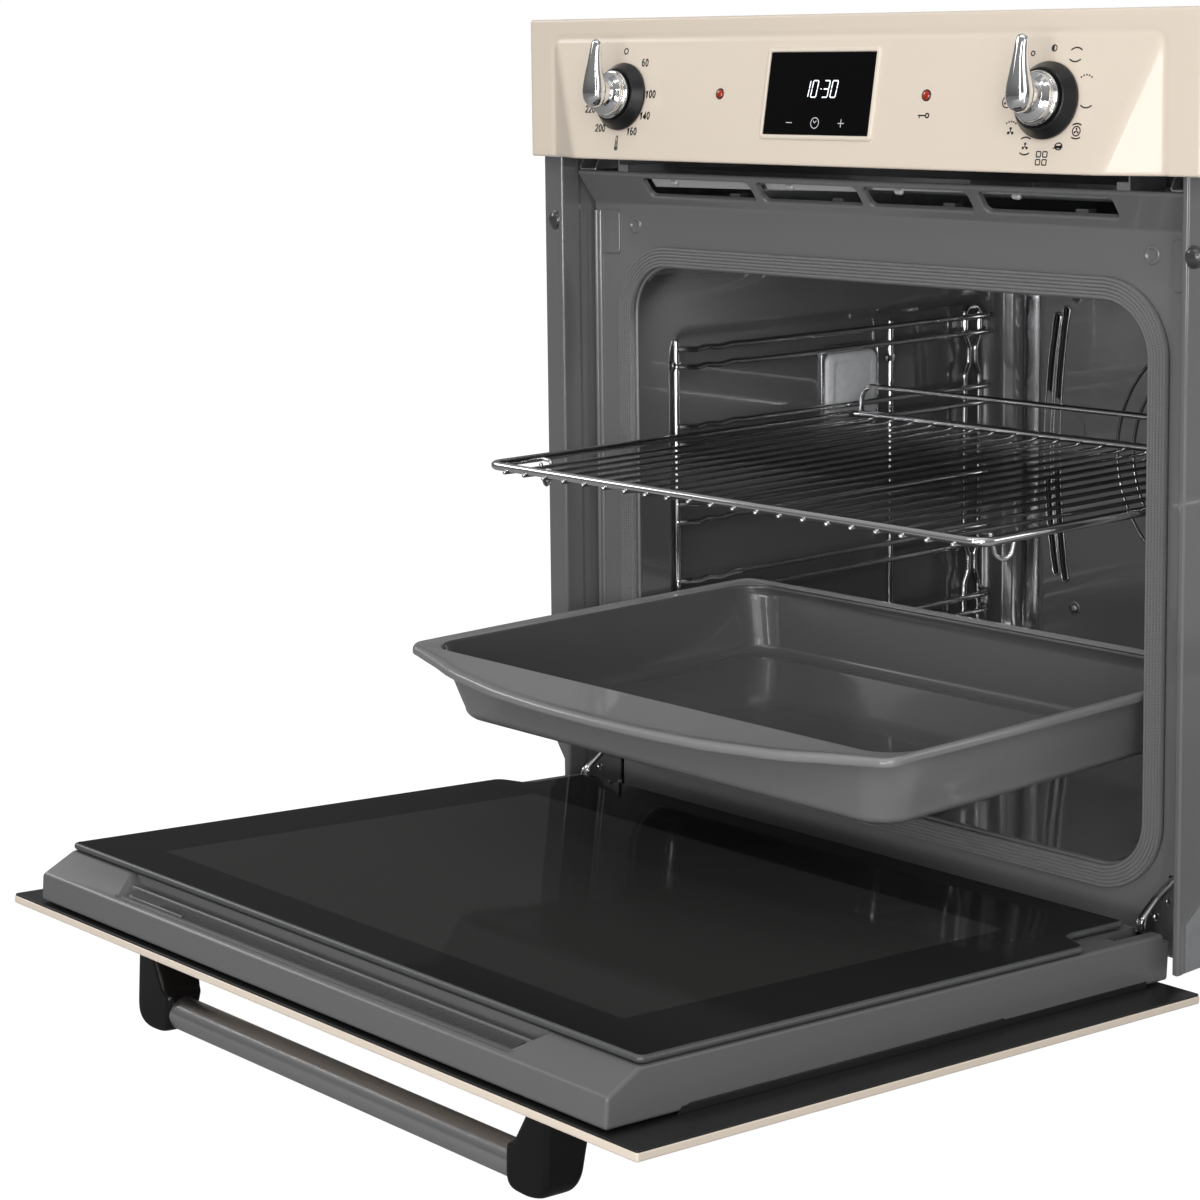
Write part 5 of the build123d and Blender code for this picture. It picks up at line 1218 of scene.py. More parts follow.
# hole rims: edges pressed inward on the outlet slots
for h in holes[:4]:
    m.add(loft([[(p[0], p[1], 0) for p in h], [(p[0], p[1], -2.4) for p in h]]))
st = [(-3.0, 0.0), (-1.4, -.08), (.6, -.42), (2.6, -1.1), (5.0, -2.3), (10.6, -6.0), (13.2, -7.7), (14.8, -8.7), (16.2, -9.35), (17.6, -9.72), (19.0, -9.8)]
m.add(loft([[(p[0], p[1], w) for p in cover_loop(o)] for o, w in st]))
# the cover wears the lighter copy of the cavity enamel: painted light
skin("fan_cover_plate", m, "carcass", cover_enamel_painted_light, "fan_cover", 1.0, (0, 450, 330), (0, -1, 0), angle=42)
# pressed rings and swages in a brighter metal than the cover's enamel: real relief, with painted highlight in the
# material
m = Mesh(FC)
for r0, r1 in ((100.2, 103.6), (84.2, 87.6)):
    c = (r0 + r1) / 2
    m.add(lathe([(r0, -.3), (r0 + .3, .5), (c - .9, 1.6), (c, 1.9), (c + .9, 1.6), (r1 - .3, .5), (r1, -.3)], 128, cx=0, cy=243.5, closed=True))
for s in (-1, 1):
    # standing swage down each side of the cover
    q = []
    for z, k in ((72, 0), (76, .35), (82, .75), (90, 1), (140, 1), (200, 1), (260, 1), (320, 1), (360, 1), (368, .75), (374, .35), (378, 0)):
        q.append([(s * 195.0 + 12.5 * cos(pi * i / 20), z, -9.9 + 6.0 * k * sin(pi * i / 20)) for i in range(21)])
    m.add(loft(q, closed=False))
make("fan_cover_rings", m, "carcass", metal("cover_ring_painted_highlight", (.42, .42, .43), .24, var=.06, fine=.002), None, angle=60)
# rims round the outlet slots in a brighter metal than the cover's enamel: painted highlight along the pressed slot
# edges
m = Mesh(FC)
for s in (-1, 1):
    for pa, pb, pc in (((s * 163.6, 348), (s * 173.0, 248), (s * 163.2, 137)), ((s * 154.2, 354), (s * 163.4, 249), (s * 153.8, 132))):
        m.add(loft([[(p[0], p[1], w) for p in band(pa, pb, pc, half)] for half, w in ((2.45, -.6), (2.5, .3), (2.75, .95), (3.3, 1.25), (3.9, .95), (4.25, .4), (4.4, -.1))]))
make("fan_cover_slot_rims", m, "carcass", metal("slot_rim_painted_highlight", (.66, .66, .67), .16, var=.05, fine=.002), None, angle=70, weighted=False)
m = Mesh(FC)
for x, z in ((-144, 108), (144, 108), (-144, 372 - 6), (144, 372 - 6)):
    m.add(lathe([(5.6, -.1), (5.7, .3), (5.2, .55), (4.1, .6), (4.0, 1.0), (3.6, 1.9), (2.6, 2.5), (1.5, 2.7), (1.3, 1.6), (.3, 1.5)], 28, cx=x, cy=z))
make("fan_cover_screws", m, "carcass", zinc, None, angle=50)

# ---------------------------------------------------------------- temperature feeler
m = Mesh()
m.add(tube([(-208, 391.8, 378), (-208, 459.9, 378)], 2.1, 16))
m.add(swap(lathe([(2.0, 0), (4.6, 0), (4.8, .4), (4.8, 2.6), (4.4, 3.0), (2.2, 3.2), (2.0, 3.2)], 24), lambda x, y, w: (-208 + x, 459.9 - w, 378 + y)))
make("feeler_rod", m, "carcass", chrome, "temperature_sensor")

# ================================================================ side racks
LEVELS = (97.7, 156.5, 215.3, 274.1, 332.9)
for side, s in (("left", -1), ("right", 1)):
    m = Mesh()
    for z in LEVELS:
        for dz in (0, 13.5):
            p = fillet([(s * 230.2, 81, z + dz), (s * 226.4, 88, z + dz), (s * 225.9, 98, z + dz - .9), (s * 226.4, 108, z + dz + .3), (s * 225.9, 122, z + dz - .9), (s * 226.4, 136, z + dz + .6), (s * 226.0, 150, z + dz),
                        (s * 226.0, 434, z + dz), (s * 230.2, 441, z + dz)], 9, 5)
            m.add(tube(p, 2.45, 12))
    for y in (81, 320):
        lo, hi = (86, 352) if y == 81 else (86, 350)
        m.add(tube([(s * 230.5, y, lo), (s * 230.5, y, hi)], 2.45, 12))
    for y, dy in ((412, 5), (430, -5)):
        q = [(s * 230.5, y, 86), (s * 230.5, y, 122), (s * 230.5, y + dy, 132), (s * 230.5, y + dy, 147), (s * 230.5, y, 157), (s * 230.5, y, 298),
             (s * 230.5, y + dy, 308), (s * 230.5, y + dy, 321), (s * 230.5, y, 331), (s * 230.5, y, 350)]
        m.add(tube(fillet(q, 8, 5), 2.4, 12))
    # folded foot and head joining the rear pair, small weld beads where rails cross the uprights
    for zz in (86, 350):
        q = [(s * 230.5, 412, zz), (s * 230.5, 416, zz + (4 if zz > 200 else -4)), (s * 230.5, 426, zz + (4 if zz > 200 else -4)), (s * 230.5, 430, zz)]
        m.add(tube(fillet(q, 3, 4), 2.3, 10))
    for z in LEVELS:
        for dz in (0, 13.5):
            for y in (81, 320, 412, 430):
                yy = y
                m.add(swap(lathe([(.4, -1.9), (1.7, -1.5), (2.3, 0), (1.7, 1.5), (.4, 1.9)], 8), lambda a, b, w, yy=yy, z=z, dz=dz: (s * (228.3 + w * .5), yy + a, z + dz + b)))
    for y, z in ((81, 334), (320, 320), (81, 104)):
        m.add(swap(lathe([(2.4, -3.2), (2.4, 1.0), (4.6, 1.2), (4.8, 2.0), (4.3, 3.6), (2.2, 4.4), (.4, 4.5)], 20), lambda a, b, w, y=y, z=z: (s * (233.0 - w), y + a, z + b)))
    make("rack_wires_" + side, m, "carcass", chrome, "rack_" + side, angle=50, weighted=False)

# ================================================================ lamp in the left wall
def LM(y, z, w):
    """On the left wall's recess: w towards the middle of the oven."""
    return (-(239.0 - w) * MM, (YF + y) * MM, z * MM)


m = Mesh(LM)
fo = lambda i: rrect(33.5 - i, 32.5 - i, max(1, 9 - i), 6, 279.5, 302.5)
fi = lambda i: rrect(30.2 + i, 27.7 + i, 8.5 + i, 6, 280.2, 301.2)
m.add(rounded(fo, 0.06, 2.6, .0, 1.0, 4, inner=fi))
for y, z in ((252, 331.5), (307, 331.5), (252, 273.5), (307, 273.5)):
    m.add(lathe([(2.6, 2.3), (2.6, 2.9), (2.0, 3.5), (.5, 3.7)], 16, cx=y, cy=z))
make("lamp_frame", m, "carcass", metal("lamp_frame_metal", (.58, .58, .59), .2, var=.06, fine=.0012), "lamp_housing", angle=45)
m = Mesh(LM)


def lens_ring(o, w, r):
    return [(p[0], p[1], w) for p in rrect(29.6 - o, 27.1 - o, r, 6, 280.2, 301.2, 6)]


m.add(loft([lens_ring(0, .3, 8), lens_ring(0, 2.4, 8), lens_ring(.5, 3.6, 7.6), lens_ring(2.0, 4.6, 6.6), lens_ring(5.0, 5.2, 5), lens_ring(7.0, 5.3, 4), lens_ring(8.0, 4.7, 3.6), lens_ring(9.5, 4.6, 3),
            lens_ring(16, 5.1, 3), lens_ring(22, 5.4, 2.5)], cap0=True, cap1=True))
make("lamp_cover", m, "carcass", lamp_glass, "lamp_glass", angle=60)
m = Mesh(LM)
m.add(swap(rounded(lambda i: rrect(27 - i, 24.5 - i, 7, 5, 280.2, 301.2), .1, .28, 0, 0, 1), lambda a, b, w: (a, b, w)))
make("lamp_reflector", m, "carcass", metal("lamp_reflector_metal", (.55, .55, .56), .35, var=.1, fine=.002, depth=.00001), None)

# ================================================================ wire shelf
m = Mesh()
rim_r = 3.0


def shelf_loop(z=280.4):
    return [(p[0], p[1], z) for p in rrect(225.2, 189.7, 11, 8, 0, 82.3)]


m.add(tube(shelf_loop(), rim_r, 14, closed=True))
for i in range(21):
    x = -205 + 20.5 * i
    # rods dive under the front rim and stop at the rear one
    q = [(x, -110.4, 277.3), (x, -96, 276.9), (x, 262, 276.9), (x, 275.0, 277.4)]
    m.add(tube(fillet(q, 30, 4), 1.5, 8))
q = [(-217.5, 271.5, 280.6), (-217.5, 272, 303), (217.5, 272, 303), (217.5, 271.5, 280.6)]
m.add(tube(fillet(q, [0, 12, 12, 0], 8), 2.35, 14))
for s in (-1, 1):
    q = [(s * 205.5, -76.0, 279.4), (s * 206.0, -72.5, 266.2), (s * 208.6, -68, 262.6), (s * 211.2, -63.5, 266.2), (s * 211.8, -60, 279.2), (s * 222.8, -60, 279.9)]
    m.add(tube(fillet(q, [0, 5, 5, 5, 4, 0], 6), 1.5, 10))
make("wire_shelf_wires", m, "shelf", chrome, "wire_shelf", angle=60, weighted=False)

# ================================================================ deep tray
def lerp(a, b, t):
    return a + (b - a) * t


def tray_loop(hx, y0, y1, r, n=12, k=24, kz=20, cx=0.0):
    """Closed loop of (x, y): sides |x| = hx, front y0, rear y1."""
    return rrect(hx, (y1 - y0) / 2, r, n, cx, (y0 + y1) / 2, k, kz)


def front_bow(x):
    """Front edge of the rim."""
    F_ = [(-226, -162), (-225.5, -169), (-223.6, -175.6), (-219.8, -181.6), (-213.6, -186.4), (-205, -189.6), (-193, -193), (-150, -206), (-90, -216.5), (-45, -220.4), (0, -221.5)]
    a = -abs(x)
    for (x0, y0), (x1, y1) in zip(F_, F_[1:]):
        if a <= x1:
            return lerp(y0, y1, smooth((a - x0) / (x1 - x0)) * .25 + .75 * (a - x0) / (x1 - x0))
    return -221.5


def bow_loop(inset, dx=0.0):
    """Rim's outer loop with the same number of points as tray_loop."""
    base = tray_loop(226 - inset, -186 + inset, 151.6 - inset, max(2.0, 12 - inset))
    out = []
    for x, y in base:
        if y < -160:
            yb = front_bow(x * 226 / (226 - inset)) + inset
            w = smooth((-160 - y) / 26.0)
            y = lerp(y, yb, w) if abs(x) < 212 else y + (front_bow(212) + 186) * smooth((224 - abs(x)) / 12.0)
        out.append((x, y))
    return out


rings = []
# underside first: from the rim's rolled edge inward is handled by the sheet's thickness
T = []
# rim plane -> wall -> floor, seen from above


def droop(y):
    """The front of the rim slopes down towards its outer edge."""
    return -7.5 * smooth((-170 - y) / 52.0)


def taper(x, y):
    return x * (1 - .008 * smooth((-70 - y) / 110.0))


for ins, z in ((.5, 159.4), (0.0, 160.2), (0.0, 162.1), (.35, 163.4), (1.3, 164.4), (2.7, 164.7), (4.0, 164.2), (5.2, 163.3), (6.6, 163.0)):
    T.append([(taper(x, y), y, z + droop(y)) for x, y in bow_loop(ins)])
top = tray_loop(217.4, -176.4, 147.6, 27)
KR = len(T) + 3
T.append([(lerp(taper(*a), b[0], .6), lerp(a[1], b[1], .6), 162.9 + .5 * droop(a[1])) for a, b in zip(bow_loop(6.6), top)])
T.append([(x, y, 162.8) for x, y in top])
for i in range(1, 7):
    a = radians(90 * i / 6)
    o = 2.5 * sin(a)
    z = 162.8 - 3.0 * (1 - cos(a))
    T.append([(x, y, z) for x, y in tray_loop(217.4 - o, -176.4 + o, 147.6 - o, 27 - o * .3)])
for i in range(1, 9):
    t = i / 9
    T.append([(x, y, lerp(159.8, 121.5, t)) for x, y in tray_loop(lerp(214.9, 200.9, t), lerp(-173.9, -164.0, t), lerp(148.9, 139.0, t), lerp(26, 23, t))])
for i in range(7):
    a = radians(90 * i / 6)
    o = 7.6 * (1 - cos(a))
    T.append([(x, y, 121.0 - 7.2 * sin(a)) for x, y in tray_loop(200.7 - o, -163.9 + o, 138.9 - o, 23.5 - o * .4)])
for ins, dz in ((5.0, 0.0), (9.0, .05), (11.0, .55), (13.5, 1.0), (20, 1.05), (60, .8), (110, .55), (139, .5)):
    T.append([(x, y, 113.8 + dz) for x, y in tray_loop(200.7 - 7.6 - ins, -156.3 + ins, 131.3 - ins, max(3, 20.5 - ins * .6))])
m = Mesh()
# rim and flange take the lighter copy (painted light), the basin the darker copy (painted shade); the outside takes the
# lighter copy too
m.add(loft(T[:KR + 1]), 1)
m.add(loft(T[KR:], cap1=True), 0)
tray_ob = skin("tray_pressing", m, "tray", [tray_basin_painted_shade, tray_rim_painted_light], "baking_tray", 1.25, (0, 0, 114.5), (0, 0, 1), angle=60)

m = Mesh()
for ex, ey in ((221.2, -128.0), (-221.2, -128.0)):
    m.add(lathe([(3.1, 162.7), (3.2, 163.15), (2.9, 163.4), (2.2, 163.45), (1.9, 163.2), (1.8, 162.7)], 28, cx=ex, cy=ey, closed=True))
make("tray_eyelets", m, "tray", tray_rim_painted_light, None, angle=60)
m = Mesh()
for ex, ey in ((221.2, -128.0), (-221.2, -128.0)):
    m.add(lathe([(1.85, 162.6), (1.85, 163.1), (.3, 163.14)], 20, cx=ex, cy=ey))
make("tray_eyelet_shadow", m, "tray", black_satin, None, angle=60)

# ================================================================ grill element close under the ceiling
m = Mesh()
q = [(-20, 459.9, 398), (-20, 436, 398), (-20, 415, 405.5), (-20, 400, 405.5), (-185, 400, 405.5), (-185, 130, 405.5), (-110, 130, 405.5), (-110, 350, 405.5), (-45, 350, 405.5), (-45, 130, 405.5)]
q = q + [(-x, y, z) for x, y, z in reversed(q)]
m.add(tube(fillet(q, [0, 10, 10] + [18] * 14 + [10, 10, 0], 6), 3.2, 12))
make("grill_element_tube", m, "carcass", element_tube, "grill_element", angle=60, weighted=False)


# ================================================================ door: face plate, liner, outer window
def DX(x, s, h):
    return D(x, s, h)


m = Mesh(D)
m.add(rounded(lambda i: rrect(298.5 - i, 235 - i, max(.6, 2 - i), 5, 0, 235), -6.0, -1.0, 1.4, .9, 5,
              inner=lambda i: rrect(200 + i, 135 + i, 16 + i, 5, 0, 240)))
make("door_face_plate", m, "door", cream, "door_outer_panel", angle=40)
m = Mesh(D)
m.add(rounded(lambda i: rrect(298.0 - i, 234.5 - i, max(.6, 1.8 - i), 5, 0, 235), -.99, .25, .1, .45, 3,
              inner=lambda i: rrect(200 + i, 135 + i, 16 + i, 5, 0, 240)))
make("door_liner_sheet", m, "door", liner_dark, "door_liner", angle=40)
m = Mesh(D)
m.add(rounded(lambda i: rrect(199.7 - i, 134.7 - i, 15.7 - i, 6, 0, 240), -5.0, -1.0, .6, .3, 4))
make("outer_window_pane", m, "door", glass_outer, "door_outer_glass")

# ================================================================ door frame
FX = 271.0


def along(section, x0, x1, tilt=0.0, h0=0.0):
    """Section (s, h) run across the door; tilt leans the end faces."""
    xa = lambda h, x, sg: x + sg * tilt * (h - h0)
    return loft([[(xa(h, x0, -1), s_, h) for s_, h in section], [(xa(h, x1, 1), s_, h) for s_, h in section]], cap0=True, cap1=True)


m = Mesh(D)
m.add(along([(4.0, 1.5), (4.0, 18.6), (25.8, 30.6), (28.4, 31.2), (474.0, 31.2), (474.0, 1.5)], -FX, FX))
body = bpy.data.meshes.new("door_frame_solid")
body.from_pydata(m.v, [], m.f)
bm = bmesh.new()
bm.from_mesh(body)
bmesh.ops.recalc_face_normals(bm, faces=bm.faces[:])
bm.to_mesh(body)
bm.free()
fob = bpy.data.objects.new("door_frame_body", body)
bpy.context.scene.collection.objects.link(fob)
md = fob.modifiers.new("edge", "BEVEL")
md.width, md.segments, md.limit_method, md.angle_limit = 2.2 * MM, 5, "ANGLE", radians(20)
bake(fob)
WX, W0, W1 = 224.0, 62.0, 400.0
c1 = Mesh(D)
c1.add(rounded(lambda i: rrect(WX - i, (W1 - W0) / 2 - i, 12, 5, 0, (W0 + W1) / 2), -5, 45, 0, 0, 1))
c2 = Mesh(D)
c2.add(rounded(lambda i: rrect(WX + 13 - i, (W1 - W0) / 2 + 10 - i, 3, 3, 0, (W0 + W1) / 2), 14.0, 45, 0, 0, 1))
c3 = Mesh(D)
c3.add(along([(9.4, 45), (9.4, 19.0), (21.2, 19.0), (21.9, 24.2), (22.6, 24.9), (23.6, 24.9), (24.3, 24.2), (24.6, 20.0), (29.6, 20.0), (29.9, 29.2), (30.6, 29.9), (32.6, 29.9), (33.2, 29.2), (33.4, 20.0), (41.0, 20.0), (41.0, 45)], -187, 187, 1.35, 20.0))
c3b = Mesh(D)
c3b.add(along([(-2, 45), (-2, 19.6), (9.5, 20.3), (9.5, 45)], -190, 190, 1.35, 20.0))
cs = [c1, c2, c3, c3b]
for s in (-1, 1):
    q = Mesh(D)
    q.add(loft([[(s * x, s_, h) for s_, h in ((56, -1), (60, 3.8), (62.4, 5.4), (315.6, 5.4), (318, 3.8), (322, -1))] for x in (268.6, 274.0)], cap0=True, cap1=True))
    cs.append(q)
    q = Mesh(D)
    q.add(loft([[(s * 256.3 + x, s_, h) for x, s_ in ((-6.2, 429), (6.2, 429), (6.2, 480), (-6.2, 480))] for h in (1.0, 45)], cap0=True, cap1=True))
    cs.append(q)
q = Mesh(D)
q.add(loft([[(x, s_, h) for s_, h in ((465.9, 40), (465.9, 26.0), (480, 26.0), (480, 40))] for x in (-300, 300)], cap0=True, cap1=True))
cs.append(q)
for c in cs:
    co_ = cutter(c)
    md = fob.modifiers.new("cut", "BOOLEAN")
    md.operation, md.solver, md.object = "DIFFERENCE", "EXACT", co_
    bake(fob)
    drop(co_)
md = fob.modifiers.new("edge", "BEVEL")
md.width, md.segments, md.limit_method, md.angle_limit = .55 * MM, 2, "ANGLE", radians(50)
md.use_clamp_overlap = True
bake(fob)
fob.data.materials.clear()
fob.data.materials.append(door_grey)
fob.data.shade_smooth()
fob.data.set_sharp_from_angle(angle=radians(40))
md = fob.modifiers.new("normals", "WEIGHTED_NORMAL")
md.keep_sharp = True
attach(fob, "door")
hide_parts("door_frame")

# ribbed vent strip in the channel
m = Mesh(D)
xs = []
P_ = 2.0
for i in range(187):
    x = -187.2 + P_ * i
    xs += [(x, 0), (x + .35, 0), (x + .6, 1), (x + 1.4, 1), (x + 1.65, 0)]
xs.append((187.4, 0))
secs = [(9.6, 20.0, 0), (10.4, 20.8, 0), (12.0, 21.3, 0), (12.6, 21.5, 1), (19.4, 23.2, 1), (20.0, 23.35, 0), (21.2, 23.6, 0)]
rings = []
for x, g in xs:
    g2 = 0 if x < -150 else g
    rings.append([(x, s_, h - 1.5 * g2 * gg) for s_, h, gg in secs] + [(x, 21.2, 19.3), (x, 9.6, 19.3)])
m.add(loft(rings, cap0=True, cap1=True))
make("vent_strip_ribbed", m, "door", vent_grey, "door_vent_strip", angle=30, weighted=False)
# short raised lip beside the left end block
m = Mesh(D)
m.add(swap(tube([(-178, 12.6, 21.9), (-124, 12.6, 21.9)], .95, 12), lambda x, s_, h: (x, s_, h)))
m.add(swap(tube([(-180.4, 13.0, 21.7), (-179.4, 13.0, 22.0)], 1.5, 12), lambda x, s_, h: (x, s_, h)))
make("vent_strip_lip", m, "door", door_grey, None, weighted=False)

# ---------------------------------------------------------------- inner glass: black printed border, tinted window, ground edge


def glass_outline(o):
    """Rounded corners and the two hinge notches; o is the inset."""
    pts = [(-271.4 + o, 25.8 + o), (271.4 - o, 25.8 + o), (271.4 - o, 390.5 - o), (251.8 - o, 399.0 - o), (248.8 - o, 406.0), (248.8 - o, 458.0 - o)]
    left = [(-a, b) for a, b in reversed(pts[2:])]
    q = [pts[0], pts[1]] + pts[2:] + left
    r = [5, 5, 9, 8, 8, 5, 5, 8, 8, 9]
    return fil2(q, [max(.8, x - o) for x in r], 6, True)


WIN = rrect(218, 157.5, 1.5, 2, 0, 220.5)
m = Mesh(D)
g = 2.0
prof = [(g, 32.0), (1.0, 32.25), (.3, 32.9), (0.0, 33.8), (0.0, 34.4), (.3, 35.3), (1.0, 35.95), (g, 36.2)]
m.add(loft([[(p[0], p[1], h) for p in glass_outline(o)] for o, h in prof]), 2)
out2 = glass_outline(g)
pts, faces, _ = plate(out2, [WIN], 32.0, 36.2)
n = len(pts) // 2
m.add((pts, [f for f in faces if all(i < n for i in f) or all(i >= n for i in f)], None), 0)
pts, faces, _ = plate(WIN, [], 32.0, 36.2)
n = len(pts) // 2
m.add((pts, [f for f in faces if all(i < n for i in f) or all(i >= n for i in f)], None), 1)
make("inner_glass_pane", m, "door", [glass_border, glass_tint, glass_edge], "door_inner_glass", recalc=True, weld=2e-5, angle=30)
m = Mesh(D)
m.add(rounded(lambda i: rrect(235 - i, 177 - i, 3, 3, 0, 231), 14.05, 18.05, .4, .4, 2))
make("middle_glass_pane", m, "door", glass_middle, "door_middle_glass")

# black strip along both sides of the frame: painted shade standing in for a narrow open joint
m = Mesh(D)
for s in (-1, 1):
    m.add(swap(rounded(lambda i: [(54 + i, .3 + i), (452 - i, .3 + i), (452 - i, 4.4 - i), (57 + i, 4.4 - i)], 270.6, 271.25, .2, .2, 2), lambda q, h, x, s=s: (s * x, q, h)))
make("door_side_gap_painted_shade", m, "door", black_satin, None, angle=60)

# ---------------------------------------------------------------- handle
m = Mesh(D)
prof = []
m.add(swap(lathe([(9.0, -171.9), (9.2, -172.0), (10.3, -171.9), (10.5, -171.5), (10.5, 171.5), (10.3, 171.9), (9.2, 172.0), (9.0, 171.9)], 96, closed=True), lambda a, b, w: (w, 43 + a, -53 + b)))
make("handle_tube", m, "door", bar_steel, "handle_bar", angle=50)
m = Mesh(D)
for s in (-1, 1):
    # outer face runs down from the door and sweeps in under the bar; stations go from the door outwards
    ST = []
    for i in range(8):
        h = -5.9 - 38.1 * i / 7
        ST.append((198.0, h))
    for i in range(1, 11):
        a = radians(90 * i / 10)
        ST.append((176 + 22 * sqrt(max(cos(a), 0)), -44 - 21.3 * sqrt(sin(a))))
    IN = [(180.5, -6.0), (180.2, -10), (179.6, -14), (179.0, -18), (176.5, -23), (173.4, -28.5), (171.0, -33), (168.6, -37.0), (166.8, -38.6), (164.8, -39.6), (162.6, -40.6), (162.0, -42.5), (162.0, -47), (162.0, -52), (162.0, -57), (163.0, -61.5), (166.0, -64.2), (171, -65.1)]
    n_ = min(len(ST), len(IN))
    rings = []
    for k in range(n_):
        (xo, ho), (xi, hi_) = ST[k], IN[k]
        f = k / (n_ - 1)
        s0, s1 = 30.6 + 1.6 * f * f, 64.2 - 10.5 * smooth(f * 1.05)
        cs_, hs_ = (s0 + s1) / 2, (s1 - s0) / 2
        L = hypot(xo - xi, ho - hi_)
        ux, uh = (xo - xi) / L, (ho - hi_) / L
        ring = []
        for a, b in rrect(L / 2, hs_, 3.6, 5, 0, 0, 1, 3):
            # a rounded-rectangle section between the outer and inner points
            ring.append((s * ((xo + xi) / 2 + ux * a), cs_ + b, (ho + hi_) / 2 + uh * a))
        rings.append(ring)
    m.add(loft(rings, cap0=True, cap1=True))
make("handle_post_castings", m, "door", black_post, "handle_posts", sub=1, angle=180, weighted=False)
m = Mesh(D)
for s in (-1, 1):
    m.add(lathe([(2.4, -20.0), (2.4, .3), (4.2, .35), (4.6, .6), (4.5, 1.2), (3.6, 2.0), (2.2, 2.4), (1.4, 2.4), (1.3, 1.6), (.3, 1.5)], 24, cx=s * 188, cy=52))
make("handle_bolts", m, "door", zinc, "handle_screws", angle=50)


# ================================================================ hinges
def HP(y, z, w):
    return (w * MM, (YF + y) * MM, z * MM)


zinc_bright = metal("hinge_plating", (.60, .60, .61), .2, var=.07, fine=.0012, depth=.000010, broad=.08)
OUT = [(176, 6), (176, 62), (60, 62), (44.5, 52.6), (42, 52.6), (24, 44.5), (7.5, 33.5), (5.2, 29), (6.5, 24), (11, 6.5), (19, 4.2), (30, 5), (44.5, 5)]
OR = [2, 2, 8, 3, 2, 6, 4, 2.5, 3, 5, 4, 3, 2]
for side, s in (("left", -1), ("right", 1)):
    m = Mesh()
    q = fil2(OUT, OR, 5, True)
    area2 = sum(p[0] * r_[1] - r_[0] * p[1] for p, r_ in zip(q, q[1:] + q[:1]))
    q = q if area2 > 0 else q[::-1]
    for k in (-1, 1):
        c = s * (256.3 + k * 2.5)
        g = rounded(lambda i: [(p[0], p[1]) for p in q], -.4, .4, 0, 0, 1)
        m.add(swap(g, lambda y, z, w, c=c: (c + w, y, z)))
    # bright rolled rail along the sloping front edge, with pressed shoulders
    path = fillet([(s * 256.3, 9.2, 27.0), (s * 256.3, 8.6, 33.0), (s * 256.3, 24.5, 43.4), (s * 256.3, 41.6, 51.4)], [0, 5, 8, 0], 6)
    m.add(tube([(x, y, z) for x, y, z in path], 3.3, 14, squash=.62))
    m.add(swap(lathe([(3.4, -4.3), (3.6, -3.9), (3.6, 3.9), (3.4, 4.3), (.4, 4.5)], 24), lambda a, b, w: (s * 256.3 + w, 19 + a, 13 + b)))
    for y, z in ((40.5, 18.0), (33.0, 40.5), (20.0, 33.5)):
        for k in (-1, 1):
            m.add(swap(lathe([(2.6, 0), (2.7, .3), (2.2, 1.0), (1.0, 1.4), (.3, 1.45)], 16), lambda a, b, w, y=y, z=z, k=k: (s * 256.3 + k * (2.85 + w), y + a, z + b)))
    # rod of the closing spring; the coil's points are worked out but not drawn
    m.add(tube([(s * 256.3, 62, 34), (s * 256.3, 174, 34)], 1.4, 10))
    coil = []
    for i in range(26 * 14 + 1):
        a = 2 * pi * i / 14
        coil.append((s * 256.3 + 2.9 * 0 + 0.9 * cos(a), 66 + 100 * i / (26 * 14), 34 + 5.4 * sin(a)))
    make("hinge_case_" + side, m, "carcass", zinc_bright, "hinge_pocket_" + side, angle=40)
    m = Mesh(D)
    arm = fil2([(430, 11.2), (468, 11.2), (475, 10.2), (482.6, 18), (475, 25.8), (466, 23.0), (430, 23.0)], [1.5, 5, 6, 6, 6, 4, 1.5], 6, True)
    area2 = sum(p[0] * r_[1] - r_[0] * p[1] for p, r_ in zip(arm, arm[1:] + arm[:1]))
    arm = arm if area2 > 0 else arm[::-1]
    m.add(swap(rounded(lambda i: arm, -1.85, 1.85, 0, 0, 1), lambda s_, h, w: (s * 256.3 + w, s_, h)))
    m.add(swap(rounded(lambda i: rrect(4.4 - i, 8.8 - i, 1.4, 4, 436, 20), -5.5, 5.5, .6, .6, 3), lambda s_, h, w: (s * 256.3 + w, s_, h)))
    m.add(swap(lathe([(.4, -4.8), (3.2, -4.7), (3.2, 4.7), (.4, 4.8)], 24), lambda a, b, w: (s * 256.3 + w, 475 + a, 18 + b)))
    make("hinge_lever_" + side, m, "door", zinc_bright, "hinge_arm_" + side, angle=40, bevel=.4, seg=2)

